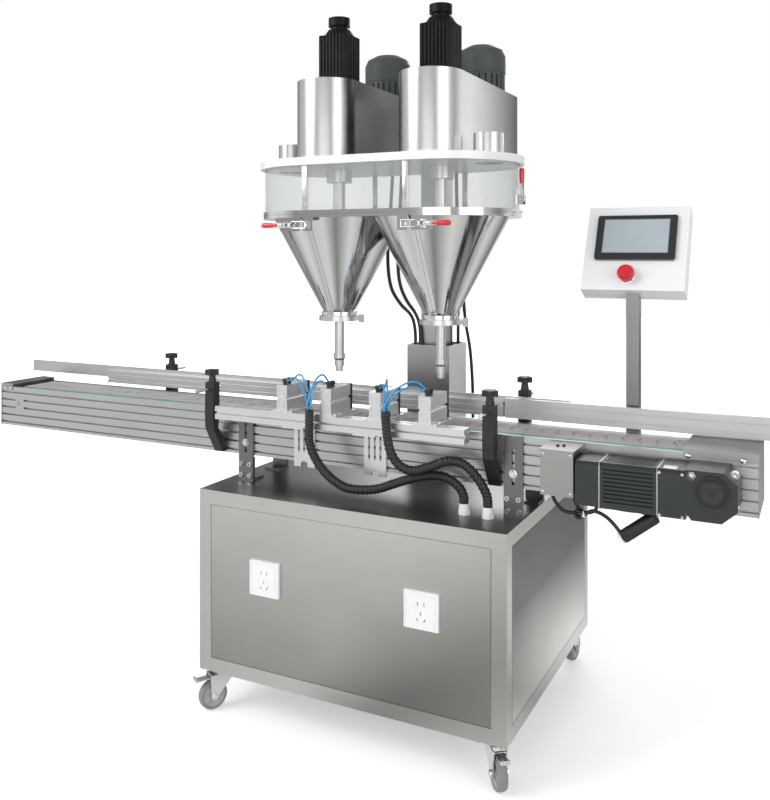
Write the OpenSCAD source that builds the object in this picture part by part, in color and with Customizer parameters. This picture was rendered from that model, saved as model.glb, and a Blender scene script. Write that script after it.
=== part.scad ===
// Twin-head powder filling machine: two auger hoppers over a slat-chain conveyor, on a cabinet with casters.
// Millimetres. X runs along the conveyor, Y into the machine's depth, Z up from the floor.
// Every place is counted from the cabinet's front left corner, and place() then centres the machine.

/* [Cabinet] */
// Width of the cabinet, along the conveyor
cab_w = 840; // [780:10:1100]
// Depth of the cabinet
cab_d = 726; // [640:2:1000]
// Height of the cabinet without its casters
cab_h = 470; // [420:10:800]
// Width of the folded frame around each opening
frame_w = 36; // [30:1:60]
// Sheet thickness of the frame, the side sheets and the door
frame_t = 3; // [2:0.5:4]
// Gap around each sheet in its opening
panel_gap = 1.5; // [1:0.5:3]
// Width of the backing strips behind the sheets
strip_w = 14; // [10:1:24]
// Side of a wall socket's face plate
socket_s = 86; // [80:1:90]
// Thickness of a wall socket's face plate
socket_t = 8; // [5:1:12]

/* [Casters] */
// Height of the casters
caster_h = 105; // [98:1:130]
// Radius of the caster wheels
wheel_r = 37.5; // [30:0.5:38]
// Width of the caster wheels
wheel_w = 24; // [16:1:30]
// Distance from the swivel axis back to the wheel axle
caster_trail = 32; // [24:1:40]
// Distance of the swivel axis in from the cabinet's sides
caster_inset = 45; // [40:1:60]

/* [Conveyor] */
// How far the conveyor reaches past the cabinet on the left
conv_left = 898; // [600:1:1200]
// How far the conveyor reaches past the cabinet on the right
conv_right = 501; // [420:1:900]
// Overall width of the conveyor
conv_w = 165; // [150:1:220]
// Distance of the conveyor's front face behind the cabinet's front
conv_y = 130; // [110:1:200]
// Height of the conveyor's underside above the cabinet
conv_gap = 68; // [66:1:150]
// Height of the side profiles
conv_h = 122; // [116:1:160]
// Thickness of the side profiles
prof_t = 20; // [16:1:22]
// Pitch of the slots in the side profiles
slot_pitch = 23.5; // [20:0.5:30]
// Pitch of the slat chain
pitch = 38.1; // [38.1:0.1:38.5]
// Width of the slats
slat_w = 114.3; // [96:0.1:115]
// Radius of the drive and idler shafts
shaft_r = 10; // [8:0.5:12]
// Thickness of the end covers
cover_t = 2; // [1:0.5:3]

/* [Gear motor] */
// Side of the square motor frame
motor_s = 100; // [80:1:104]
// Length of the finned motor body
motor_len = 119; // [90:1:160]

/* [Guides] */
// Height of the guide rods above the belt
guide_up = 57; // [50:1:90]
// Radius of the guide rods
rod_r = 4; // [3:0.5:6]
// Height of the rear guide profile
guide_h = 38; // [30:1:40]

/* [Cylinder station] */
// Side of the aluminium beam
beam_s = 35; // [30:1:36]
// Width of one pneumatic cylinder
cyl_w = 32; // [26:1:36]
// Height of one pneumatic cylinder
cyl_h = 66; // [56:1:70]
// Length of one pneumatic cylinder
cyl_len = 100; // [80:1:104]
// Radius of the piston rods
piston_r = 5; // [4:0.5:7]

/* [Operator panel] */
// Width of the operator panel
hmi_w = 241; // [220:1:300]
// Height of the operator panel along its slope
hmi_h = 225; // [210:1:260]
// Depth of the operator panel
hmi_t = 50; // [40:1:70]
// Lean of the operator panel, in degrees from upright
hmi_lean = 27; // [10:1:40]
// Height of the panel's lower front edge above the cabinet
hmi_up = 528; // [450:1:650]
// Side of the square post that carries the panel
hmi_post_s = 30; // [20:1:40]

/* [Filling head] */
// Distance between the two filling axes
axis_gap = 294.5; // [280:0.5:330]
// Depth of the filling axes, from the cabinet's front
axis_y = 212; // [205:1:240]
// Height of the cones' lower ends above the cabinet
cone_up = 460; // [440:1:560]
// Height of the cones
cone_h = 244; // [220:1:300]
// Outer radius of the cones at the top
cone_r1 = 172; // [165:1:180]
// Outer radius of the cones at the bottom
cone_r2 = 42; // [36:1:46]
// Sheet thickness of the cones
cone_t = 2; // [1.5:0.5:3]
// Thickness of each flange ring
ring_t = 9; // [7:1:12]
// Outer radius of the flange rings' round ends
ring_r = 192; // [188:1:205]
// Height of the clear shroud
shroud_h = 112; // [90:1:150]
// Wall of the clear shroud
shroud_t = 4; // [3:0.5:6]
// Thickness of the white top plate
plate_t = 19; // [12:1:24]
// Outer radius of the top plate's round ends
plate_r = 199; // [194:1:215]
// Height of the drive covers
cover_h = 196; // [160:1:260]
// Half width of the drive covers
cover_r = 81; // [70:1:84]
// Outer radius of the filling tubes
tube_r = 13; // [12:0.5:16]
// Length of the filling tubes
tube_len = 121; // [90:1:125]
// Outer radius of the feed ports
port_r = 37; // [30:1:40]
// Wall of the feed ports
port_t = 2; // [1:0.5:3]
// Height of the feed ports above the top plate
port_h = 54; // [40:1:80]

/* [Column] */
// Side of the sliding column post
post_s = 70; // [60:1:76]
// Side of the column box
box_s = 131; // [120:1:140]
// Height of the column box
box_h = 352; // [300:1:420]
// Depth of the column's axis, from the cabinet's front
post_y = 530; // [520:1:560]

/* [Hidden] */

// Smooth round parts, and the running clearance of a shaft in its bore
$fn = 48;
run = 0.05;
seat_gap = 0.3;
// Gap between parts that slide past each other, and a little more than nothing for clean cuts
gap = 0.4;
eps = 1;

// Heights that the whole machine shares
deck_z = caster_h + cab_h;
conv_z = deck_z + conv_gap;
chain_z = conv_z + conv_h + 1;
guide_z = chain_z + guide_up;
cone_z = deck_z + cone_up;
low_ring_z = cone_z + cone_h;
top_ring_z = low_ring_z + ring_t;
shroud_z = top_ring_z + ring_t;
plate_z = shroud_z + shroud_h;
base_z = plate_z + plate_t;
base_t = 12;
cover_z = base_z + base_t;
motor_z = cover_z + cover_h;

// Conveyor stations: ends, centre line, shafts
conv_x0 = -conv_left;
conv_x1 = cab_w + conv_right;
conv_back = conv_y + conv_w;
belt_y = conv_y + conv_w / 2;
barrel_r = 4.5;
slat_t = 4;
teeth = 8;
pitch_r = pitch / 2 / sin(180 / teeth);
shaft_z = chain_z - barrel_r - pitch_r;
end_margin = 81;
runs = floor(2 * (conv_x1 - conv_x0 - 2 * end_margin) / pitch) / 2;
drive_x = conv_x1 - end_margin;
idler_x = drive_x - runs * pitch;
links = 2 * runs + teeth;

// Filling head stations
head_x = 446;
axis_x = [head_x - axis_gap / 2, head_x + axis_gap / 2];
end_x = 158;
hinge_y = axis_y + ring_r + 8;
shell_slope = (cone_r1 - cone_r2) / cone_h;

// Operator panel stations
hmi_in = 289;
hmi_x = conv_x1 - hmi_in;
hmi_z = deck_z + hmi_up;
hmi_y = conv_back - 15;

// Guide rail ends, which are the machine's longest reach
rail_x0 = conv_x0 - 30;
rail_x1 = conv_x1 + 24;

// Casters: place of each swivel axis and the way its wheel trails
caster_at = [[caster_inset, caster_inset], [cab_w - caster_inset, caster_inset],
    [caster_inset, cab_d - caster_inset], [cab_w - caster_inset, cab_d - caster_inset]];
caster_turn = [240, 307, 72, 84];
pedal_reach = 46;
pedal_w = 22;

// The machine is centred on its outline: a front pedal and a rear wheel reach furthest
front_reach = min([for (i = [0, 1]) caster_inset + (caster_trail + 4 + pedal_reach) * sin(caster_turn[i])
    - pedal_w / 2 * abs(cos(caster_turn[i]))]);
back_reach = max([for (i = [2, 3]) cab_d - caster_inset + (caster_trail + wheel_r) * sin(caster_turn[i])
    + wheel_w / 2 * abs(cos(caster_turn[i]))]);
mid_x = (rail_x0 + rail_x1) / 2;
mid_y = (front_reach + back_reach) / 2;
module place() translate([-mid_x, -mid_y, 0]) children();

// Colours
steel = "silver";
dark = "#3c4448";
black = "#1c1c1e";
alu = "#c9cccd";

// Cylinder along X, along Y, and a ring along Z
module rod_x(r, len) rotate([0, 90, 0]) cylinder(r = r, h = len);
module rod_y(r, len) rotate([-90, 0, 0]) cylinder(r = r, h = len);
module ring(r_out, r_in, h) difference() {
    cylinder(r = r_out, h = h);
    translate([0, 0, -eps]) cylinder(r = r_in, h = h + 2 * eps);
}

// Sheet metal cabinet: four folded sides with openings, backing strips, hinges and caster plates
hole_at = [[700, 100], [761, 96]];
gland_r = 9;
grommet_at = [516, 640];
module cabinet_window(across, grow) {
    w = across == "x" ? cab_w : cab_d;
    translate([frame_w - grow, 0, caster_h + frame_w - grow])
        cube([w - 2 * frame_w + 2 * grow, frame_t, cab_h - 2 * frame_w + 2 * grow]);
}
module backing_strip(across) difference() {
    lap = strip_w / 2;
    resize_w = across == "x" ? cab_w : cab_d;
    translate([frame_w - lap, frame_t, caster_h + frame_w - lap])
        cube([resize_w - 2 * frame_w + 2 * lap, 2, cab_h - 2 * frame_w + 2 * lap]);
    translate([frame_w + lap, 0, caster_h + frame_w + lap])
        cube([resize_w - 2 * frame_w - 2 * lap, frame_t + 4, cab_h - 2 * frame_w - 2 * lap]);
}
module side_frame() {
    for (side = [0, 1]) mirror([0, side, 0]) translate([0, -side * cab_d, 0]) backing_strip("x");
    for (side = [0, 1]) translate([side * cab_w, 0, 0]) mirror([side, 0, 0])
        mirror([1, -1, 0]) backing_strip("y");
}
door_hinge_y = cab_d + 5;
door_hinge_z = [caster_h + 110, caster_h + cab_h - 170];
knuckle_r = 4.6;
module hinge_part(from, len, side) {
    translate([frame_w, door_hinge_y, from]) cylinder(r = knuckle_r, h = len);
    translate([side < 0 ? frame_w - 25 : frame_w + 2, cab_d, from])
        cube([side < 0 ? 25 : 23, 2, len]);
    if (side > 0) translate([frame_w, cab_d + 0.6, from]) cube([3, 2, len]);
}
module cabinet_shell() color(steel) place() {
    difference() {
        translate([0, 0, caster_h]) cube([cab_w, cab_d, cab_h]);
        translate([frame_t, frame_t, caster_h + frame_t])
            cube([cab_w - 2 * frame_t, cab_d - 2 * frame_t, cab_h - 2 * frame_t]);
        translate([frame_w, -eps, caster_h + frame_w])
            cube([cab_w - 2 * frame_w, cab_d + 2 * eps, cab_h - 2 * frame_w]);
        translate([-eps, frame_w, caster_h + frame_w])
            cube([cab_w + 2 * eps, cab_d - 2 * frame_w, cab_h - 2 * frame_w]);
        for (p = hole_at) translate([p[0], p[1], deck_z - 2 * frame_t]) cylinder(r = gland_r, h = 20);
        translate([grommet_at[0], grommet_at[1], deck_z - 2 * frame_t]) cylinder(r = gland_r, h = 20);
    }
    side_frame();
    for (z = door_hinge_z) for (from = [z, z + 40]) hinge_part(from, 19.6, -1);
    for (z = door_hinge_z) translate([frame_w, door_hinge_y, z]) cylinder(r = 2.5, h = 59.6);
    for (p = caster_at) translate([p[0], p[1], 0]) caster_plate();
}

// Flush sheets in the front and side openings
module cabinet_panels() color(steel) place() {
    cabinet_window("x", -panel_gap);
    for (side = [0, 1]) translate([side * cab_w, 0, 0]) mirror([side, 0, 0])
        mirror([1, -1, 0]) cabinet_window("y", -panel_gap);
}

// Rear door on two butt hinges, with the hole of its lock
lock_x = cab_w - frame_w - 30;
lock_z = caster_h + cab_h / 2;
module rear_door() color(steel) place() {
    difference() {
        translate([0, cab_d - frame_t, 0]) cabinet_window("x", -panel_gap);
        translate([lock_x, cab_d - 20, lock_z]) rod_y(8 + run, 40);
    }
    difference() {
        for (z = door_hinge_z) hinge_part(z + 20, 19.6, 1);
        for (z = door_hinge_z) translate([frame_w, door_hinge_y, z]) cylinder(r = 2.5 + run, h = 60);
    }
}

// Quarter-turn lock: wing outside, cam inside, shown unlocked
module door_lock() color(dark) place() translate([lock_x, cab_d, lock_z]) {
    translate([0, -11, 0]) rod_y(8, 11.2);
    translate([0, 0.2, 0]) rod_y(14, 4);
    translate([-4, 4, -13]) cube([8, 8, 26]);
    translate([-7, -11, -7]) cube([14, 3, 47]);
}

// Switch gear inside the cabinet: mounting plate with drives, inverter and supply
module control_gear() color("#8a8f94") place() translate([150, 420, caster_h + frame_t]) {
    cube([540, 3, 360]);
    cube([540, 60, 3]);
    for (i = [0, 1]) translate([30 + i * 75, 3, 150]) cube([55, 150, 165]);
    translate([190, 3, 150]) cube([90, 130, 160]);
    translate([320, 3, 190]) cube([180, 70, 95]);
    translate([30, 3, 40]) cube([200, 60, 60]);
    translate([270, 3, 30]) cube([110, 110, 80]);
    translate([30, 3, 120]) cube([470, 8, 12]);
}

// Two wall sockets on the front sheet, five bare holes each
module socket_face() difference() {
    translate([0, -socket_t, 0]) cube([socket_s, socket_t, socket_s]);
    translate([4, -socket_t - eps, 4]) difference() {
        cube([socket_s - 8, eps + 1, socket_s - 8]);
        translate([5, -eps, 5]) cube([socket_s - 18, 4, socket_s - 18]);
    }
    for (side = [-1, 1]) translate([socket_s / 2 + side * 8 - 1, -socket_t - eps, socket_s / 2 + 10])
        cube([2, 7, 9]);
    for (side = [-1, 1]) translate([socket_s / 2 + side * 9, -socket_t - eps, socket_s / 2 - 22])
        rotate([0, side * 30, 0]) translate([-1, 0, -4.5]) cube([2, 7, 9]);
    translate([socket_s / 2 - 1, -socket_t - eps, socket_s / 2 - 12]) cube([2, 7, 9]);
}
module wall_sockets() color("white") place()
    for (x = [163.5, cab_w - 246]) translate([x, 0, caster_h + 226]) socket_face();

// Swivel casters: plate and king pin stay, fork turns, wheel spins, pedal tips
crown_z = caster_h - 5;
king_r = 6;
axle_r = 4;
fork_in = wheel_w / 2 + 2;
leg_t = 3;
pedal_x = caster_trail + 4;
pedal_z = wheel_r + 46;
module caster_plate() {
    translate([-38, -38, caster_h - 4]) cube([76, 76, 4 - seat_gap]);
    translate([0, 0, crown_z - 16]) cylinder(r = king_r, h = 18);
    translate([0, 0, crown_z - 15.3]) cylinder(r = 10, h = 4);
    for (x = [-28, 28]) for (y = [-28, 28]) translate([x, y, caster_h - 9]) cylinder(r = 5, h = 5);
}
module fork_leg() linear_extrude(leg_t) union() {
    polygon([[-22, crown_z - 16], [-22, crown_z - 8], [pedal_x + 8, crown_z - 8], [pedal_x + 8, pedal_z - 8],
        [caster_trail + 10, wheel_r], [caster_trail - 10, wheel_r]]);
    translate([caster_trail, wheel_r]) circle(r = 10);
}
module fork(i) color(steel) place() translate([caster_at[i][0], caster_at[i][1], 0])
    rotate([0, 0, caster_turn[i]]) difference() {
        union() {
            translate([0, 0, crown_z - 11]) cylinder(r = 24, h = 11);
            translate([-22, -fork_in - leg_t, crown_z - 11]) cube([44, 2 * (fork_in + leg_t), 3]);
            for (y = [-fork_in, fork_in + leg_t]) translate([0, y, 0]) rotate([90, 0, 0]) fork_leg();
            translate([caster_trail, -fork_in - leg_t - 3, wheel_r]) rod_y(axle_r, 2 * (fork_in + leg_t + 3));
        }
        translate([0, 0, crown_z - 30]) cylinder(r = king_r + run, h = 40);
        if (i < 2) translate([pedal_x, -fork_in - 20, pedal_z]) rod_y(3 + run, 2 * fork_in + 40);
    }
module wheel(i) color("#77797c") place() translate([caster_at[i][0], caster_at[i][1], 0])
    rotate([0, 0, caster_turn[i]]) translate([caster_trail, 0, wheel_r]) rotate([90, 0, 0]) difference() {
        union() {
            translate([0, 0, -wheel_w / 2]) ring(wheel_r, wheel_r - 8, wheel_w);
            translate([0, 0, -wheel_w / 4]) cylinder(r = wheel_r - 7, h = wheel_w / 2);
            translate([0, 0, -fork_in + gap]) cylinder(r = 9, h = 2 * (fork_in - gap));
        }
        translate([0, 0, -wheel_w]) cylinder(r = axle_r + run, h = 2 * wheel_w);
    }
module pedal(i) color(dark) place() translate([caster_at[i][0], caster_at[i][1], 0])
    rotate([0, 0, caster_turn[i]]) translate([pedal_x, 0, pedal_z]) {
        translate([0, -fork_in - leg_t, 0]) rod_y(3, 2 * (fork_in + leg_t));
        translate([-5, -pedal_w / 2, -1.5]) cube([pedal_reach + 5, pedal_w, 3]);
        translate([pedal_reach - 4, -pedal_w / 2, -1.5]) cube([4, pedal_w, 9]);
    }
module fork_front_left() fork(0);
module fork_front_right() fork(1);
module fork_rear_left() fork(2);
module fork_rear_right() fork(3);
module wheel_front_left() wheel(0);
module wheel_front_right() wheel(1);
module wheel_rear_left() wheel(2);
module wheel_rear_right() wheel(3);
module pedal_front_left() pedal(0);
module pedal_front_right() pedal(1);

// Open box on the cabinet that holds the column's two slide guides
box_t = 3;
module column_box() color(steel) place() translate([head_x, post_y, deck_z]) {
    difference() {
        translate([-box_s / 2, -box_s / 2, 0]) cube([box_s, box_s, box_h]);
        translate([-box_s / 2 + box_t, -box_s / 2 + box_t, -eps])
            cube([box_s - 2 * box_t, box_s - 2 * box_t, box_h + 2 * eps]);
    }
    difference() {
        translate([-box_s / 2 - 20, -box_s / 2 - 20, 0]) cube([box_s + 40, box_s + 40, 5]);
        translate([-box_s / 2 + box_t, -box_s / 2 + box_t, -eps])
            cube([box_s - 2 * box_t, box_s - 2 * box_t, 5 + 2 * eps]);
    }
    for (z = [160, box_h - 40]) difference() {
        union() for (turn = [0, 90]) rotate([0, 0, turn])
            translate([-box_s / 2 + 1, -22, z]) cube([box_s - 2, 44, 14]);
        translate([-post_s / 2 - 0.3, -post_s / 2 - 0.3, z - eps])
            cube([post_s + 0.6, post_s + 0.6, 14 + 2 * eps]);
    }
}

// Four slotted legs from the cabinet to the conveyor's side profiles, with their angles and bolts
leg_w = 46;
leg_x = [34, cab_w - 50];
module conveyor_leg(x) {
    difference() {
        translate([x, conv_y - 6, deck_z]) cube([leg_w, 6, conv_gap + conv_h]);
        translate([x + leg_w / 2 - 3.5, conv_y - 10, deck_z + conv_gap + 8]) cube([7, 20, conv_h - 40]);
    }
    translate([x, conv_y, deck_z]) cube([leg_w, 5, conv_gap - 6]);
    translate([x, conv_y, deck_z]) cube([leg_w, 45, 5]);
    for (dx = [9, leg_w - 9]) for (z = [14, 44])
        translate([x + dx, conv_y - 10, deck_z + z]) rod_y(5, 5);
    translate([x + leg_w / 2, conv_y - 11, deck_z + conv_gap + 34]) rod_y(7, 6);
}
module support_legs() color(steel) place() for (x = leg_x) {
    conveyor_leg(x);
    translate([0, 2 * belt_y, 0]) mirror([0, 1, 0]) conveyor_leg(x);
}

// Side profile of the conveyor: slots outside, ledge for the wear strip inside
slot_w = 6;
slot_d = 8;
ledge = 20;
module side_profile() translate([conv_x1 - cover_t, 0, 0]) rotate([0, -90, 0])
    linear_extrude(conv_x1 - conv_x0 - 2 * cover_t) difference() {
        square([conv_h, prof_t]);
        translate([conv_h - ledge, prof_t / 2]) square([ledge + eps, prof_t]);
        for (i = [0 : 4]) translate([conv_h - 17 - i * slot_pitch - slot_w / 2, -eps]) square([slot_w, slot_d + eps]);
        for (i = [0 : 4]) translate([conv_h - 17 - i * slot_pitch - slot_w, 3]) square([2 * slot_w, slot_d - 3]);
    }
tie_x = [-620, -200, 230, 640, 1040];
module conveyor_frame() color(alu) place() {
    difference() {
        for (side = [0, 1]) translate([0, side * 2 * belt_y, 0]) mirror([0, side, 0])
            translate([0, conv_y, conv_z]) side_profile();
        for (x = [idler_x, drive_x]) translate([x, conv_y - eps, shaft_z]) rod_y(22, conv_w + 2 * eps);
    }
    for (x = [idler_x, drive_x]) for (y = [conv_y, conv_back - prof_t]) translate([x, y, shaft_z])
        rotate([-90, 0, 0]) ring(22, shaft_r + run, prof_t);
    for (x = tie_x) translate([x, conv_y + prof_t, shaft_z]) rod_y(9, conv_w - 2 * prof_t);
}

// Slat chain: flat links with interleaved hinge barrels, laid along the loop by arc length
mid_w = 26;
hinge_w = 72;
side_gap = 0.6;
leaf_x0 = barrel_r + 0.8;
turn_per_pitch = 360 / teeth;
function on_loop(s) =
    s < runs ? [idler_x + s * pitch, shaft_z + pitch_r] :
    s < runs + teeth / 2 ? [drive_x + pitch_r * sin((s - runs) * turn_per_pitch),
        shaft_z + pitch_r * cos((s - runs) * turn_per_pitch)] :
    s < 2 * runs + teeth / 2 ? [drive_x - (s - runs - teeth / 2) * pitch, shaft_z - pitch_r] :
    [idler_x - pitch_r * sin((s - 2 * runs - teeth / 2) * turn_per_pitch),
        shaft_z - pitch_r * cos((s - 2 * runs - teeth / 2) * turn_per_pitch)];
module link_mid() difference() {
    union() {
        circle(r = barrel_r, $fn = 24);
        translate([0, barrel_r - slat_t]) square([pitch - barrel_r - 0.8, slat_t]);
    }
    circle(r = 3.3, $fn = 24);
}
module link_side() union() {
    translate([pitch, 0]) circle(r = barrel_r, $fn = 24);
    translate([leaf_x0, barrel_r - slat_t]) square([pitch - leaf_x0, slat_t]);
}
module slat() rotate([90, 0, 0]) {
    translate([0, 0, -mid_w / 2]) linear_extrude(mid_w) link_mid();
    for (side = [0, 1]) mirror([0, 0, side]) {
        translate([0, 0, mid_w / 2 + side_gap]) linear_extrude((hinge_w - mid_w) / 2 - side_gap) link_side();
        translate([leaf_x0, barrel_r - slat_t, mid_w / 2 - eps])
            cube([pitch - 2 * leaf_x0, slat_t, side_gap + 2 * eps]);
        translate([leaf_x0, barrel_r - slat_t, hinge_w / 2 - eps])
            cube([pitch - 0.8, slat_t, (slat_w - hinge_w) / 2 + eps]);
    }
    translate([pitch, 0, -hinge_w / 2 + 4]) cylinder(r = 3, h = hinge_w - 8);
}
module conveyor_chain() color("#b9b0b0") place() for (i = [0 : links - 1]) {
    from = on_loop(i);
    to = on_loop(i + 1 < links ? i + 1 : 0);
    translate([from[0], belt_y, from[1]])
        rotate([0, -atan2(to[1] - from[1], to[0] - from[0]), 0]) slat();
}

// Green wear strips: each stands on a ledge and carries one edge of the chain
strip_in = conv_w / 2 - slat_w / 2;
strip_in_from_shaft = 30;
module wear_strip() translate([drive_x - strip_in_from_shaft, 0, 0]) rotate([0, -90, 0])
    linear_extrude(drive_x - idler_x - 2 * strip_in_from_shaft) union() {
    translate([conv_h - ledge, prof_t / 2]) square([ledge, strip_in - gap - prof_t / 2]);
    translate([conv_h - ledge, prof_t / 2])
        square([ledge + 1 - slat_t - 0.2, strip_in + 14 - prof_t / 2]);
}
module wear_strips() color("seagreen") place() for (side = [0, 1])
    translate([0, side * 2 * belt_y, 0]) mirror([0, side, 0]) translate([0, conv_y, conv_z]) wear_strip();

// Sheet covers over both ends of the conveyor, and the wiring box beside the motor
box_len = 73;
box_high = 98;
module end_cover(len) {
    translate([0, conv_y - cover_t, conv_z + conv_h + 8]) cube([len, conv_w + 2 * cover_t, cover_t]);
    for (y = [conv_y - cover_t, conv_back])
        translate([0, y, conv_z + conv_h - 10]) cube([len, cover_t, 18 + cover_t]);
    translate([0, conv_y - cover_t, conv_z]) cube([cover_t, conv_w + 2 * cover_t, conv_h + 8]);
}
module conveyor_covers() color(steel) place() {
    translate([conv_x0, 0, 0]) end_cover(52);
    translate([conv_x1, 0, 0]) mirror([1, 0, 0]) end_cover(151);
    for (x = [conv_x1 - 140, conv_x1 - 30]) translate([x, conv_y - cover_t - 4, conv_z + conv_h - 6])
        rod_y(5, 4);
    difference() {
        translate([box_x, 40, shaft_z - 50]) cube([box_len, conv_y - 40, box_high]);
        translate([box_x + 2, 42, shaft_z - 48]) cube([box_len - 4, conv_y - 44, box_high - 4]);
    }
    translate([box_x - 3, 37, shaft_z - 50 + box_high]) cube([box_len + 6, conv_y - 38, 3]);
}

// Shafts with two eight-tooth sprockets each
module sprocket(phase) difference() {
    cylinder(r = pitch_r - barrel_r - 0.25, h = 22, $fn = 96);
    for (i = [0 : teeth - 1]) rotate([0, 0, phase + i * 360 / teeth])
        translate([pitch_r, 0, -eps]) cylinder(r = barrel_r + 1.6, h = 22 + 2 * eps);
}
module shaft(x, y0, y1, phase) translate([x, 0, shaft_z]) {
    translate([0, y0, 0]) rod_y(shaft_r, y1 - y0);
    for (y = [belt_y - 30, belt_y + 8]) translate([0, y, 0]) rotate([-90, 0, 0]) sprocket(phase);
}
drive_phase = 90 + (floor(runs) - runs) * turn_per_pitch;
module drive_shaft() color("#8d9296") place() shaft(drive_x, 45, conv_back - 2, drive_phase);
module idler_shaft() color("#8d9296") place() shaft(idler_x, conv_y + 2, conv_back - 2, 90);

// Gear motor: end box, finned body, head and right-angle gearbox with a through cap
motor_y = conv_y - motor_s / 2;
motor_axis_z = shaft_z - 14;
gear_x0 = drive_x - 52;
gear_x1 = drive_x + 48;
head_len = 55;
fin_x0 = gear_x0 - head_len - motor_len;
end_len = 52;
box_x = fin_x0 - end_len - 6 - box_len;
seat = 0.5;
module motor_section(side) translate([-side / 2, -side / 2]) difference() {
    square(side);
    for (x = [0, side]) for (y = [0, side]) translate([x, y]) rotate(45) square(9, center = true);
}
module motor_block(x, len, side) translate([x, motor_y, motor_axis_z]) rotate([90, 0, 90])
    linear_extrude(len) motor_section(side);
fins = 9;
module gear_motor() color(dark) place() {
    motor_block(fin_x0 - end_len, end_len + seat, motor_s - 4);
    difference() {
        motor_block(fin_x0, motor_len + seat, motor_s - 2);
        for (i = [0 : fins - 1]) for (side = [-1, 1]) {
            off = (i - (fins - 1) / 2) * (motor_s - 24) / fins;
            translate([fin_x0 + 8, motor_y - motor_s, motor_axis_z + off])
                if (side < 0) cube([motor_len - 16, motor_s / 2 + 7, 4]);
            translate([fin_x0 + 8, motor_y + off, side < 0 ? motor_axis_z - motor_s : motor_axis_z + motor_s / 2 - 7])
                cube([motor_len - 16, 4, motor_s / 2 + 7]);
        }
    }
    motor_block(gear_x0 - head_len, head_len + seat, motor_s);
    difference() {
        translate([0, conv_y, 0]) rotate([90, 0, 0]) linear_extrude(motor_s) polygon([
            [gear_x0, shaft_z - 46], [gear_x0 + 12, shaft_z - 62], [gear_x1 - 30, shaft_z - 62],
            [gear_x1, shaft_z - 36], [gear_x1, shaft_z + 18], [gear_x1 - 26, shaft_z + 40],
            [gear_x0, shaft_z + 40]]);
        translate([drive_x, 40, shaft_z]) rod_y(shaft_r + run, motor_s);
        for (p = [[gear_x0 + 12, 28], [gear_x1 - 6, 36]])
            translate([p[0], conv_y - motor_s - eps, shaft_z + p[1]]) rod_y(9, 60);
    }
    translate([drive_x, conv_y - motor_s - 6, shaft_z]) rod_y(32, 6 + eps);
    translate([drive_x, conv_y - motor_s - 10, shaft_z]) rod_y(26, 4 + eps);
}

// Points along a smooth curve through hand-chosen points, and a tube swept along them
function spline(a, b, c, d, t) = 0.5 * (2 * b + (c - a) * t + (2 * a - 5 * b + 4 * c - d) * t * t
    + (3 * b - a - 3 * c + d) * t * t * t);
function smooth(p, n) = let (m = len(p) - 1)
    [for (i = [0 : m - 1]) for (k = [0 : n - 1]) spline(p[max(i - 1, 0)], p[i], p[i + 1], p[min(i + 2, m)], k / n),
        p[m]];
function unit(v) = v / norm(v);
function tangent(p, i) = unit(p[min(i + 1, len(p) - 1)] - p[max(i - 1, 0)]);
function across_of(v, t) = unit(v - (v * t) * t);
function first_side(t) = across_of(abs(t[1]) < 0.9 ? [0, 1, 0] : [1, 0, 0], t);
module cord(route, r, steps, sides = 8) {
    p = smooth(route, steps);
    side = [for (i = 0, u = first_side(tangent(p, 0)); i < len(p);
        u = across_of(u, tangent(p, min(i + 1, len(p) - 1))), i = i + 1) u];
    points = [for (i = [0 : len(p) - 1]) for (k = [0 : sides - 1])
        p[i] + r * (cos(k * 360 / sides) * side[i] + sin(k * 360 / sides) * cross(tangent(p, i), side[i]))];
    last = (len(p) - 1) * sides;
    walls = [for (i = [0 : len(p) - 2]) for (k = [0 : sides - 1]) for (half = [0, 1])
        let (a = i * sides + k, b = i * sides + (k + 1) % sides)
        half == 0 ? [a, b, a + sides] : [b, b + sides, a + sides]];
    caps = [for (k = [1 : sides - 2]) for (end = [0, 1])
        end == 0 ? [0, k + 1, k] : [last, last + k, last + k + 1]];
    polyhedron(points = points, faces = [for (f = concat(walls, caps)) [f[0], f[2], f[1]]], convexity = 8);
}

// Routes of the cords, chosen by hand: motor leads with their capacitor
lead_routes = [
    [[920, 80, 661], [920, 80, 656], [920, 80, 651], [926, 80, 638], [940, 82, 622], [960, 84, 617],
        [980, 84, 622]],
    [[965, 90, 661], [965, 90, 656], [965, 90, 651], [969, 88, 640], [978, 85, 628], [990, 84, 622],
        [1004, 82, 624], [1015, 80, 632], [1018, 80, 641], [1018, 80, 645], [1018, 80, 649]],
    [[984, 84, 610], [1005, 82, 627], [1030, 84, 622], [1052, 84, 606], [1072, 85, 582]],
    [[1044, 85, 648], [1044, 85, 645], [1045, 85, 642], [1058, 85, 639], [1086, 85, 638],
        [1112, 85, 638], [1138, 85, 630]]];
lead_r = 4;
module motor_cable() color(black) place() {
    for (route = lead_routes) cord(route, lead_r, 3);
    translate([978, 84, 617]) sphere(r = 15, $fn = 24);
    translate([1074, 85, 580]) rotate([0, 52, 0]) {
        cylinder(r = 14.5, h = 86);
        translate([0, 0, -8]) cylinder(r = 13, h = 8);
    }
}

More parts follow.
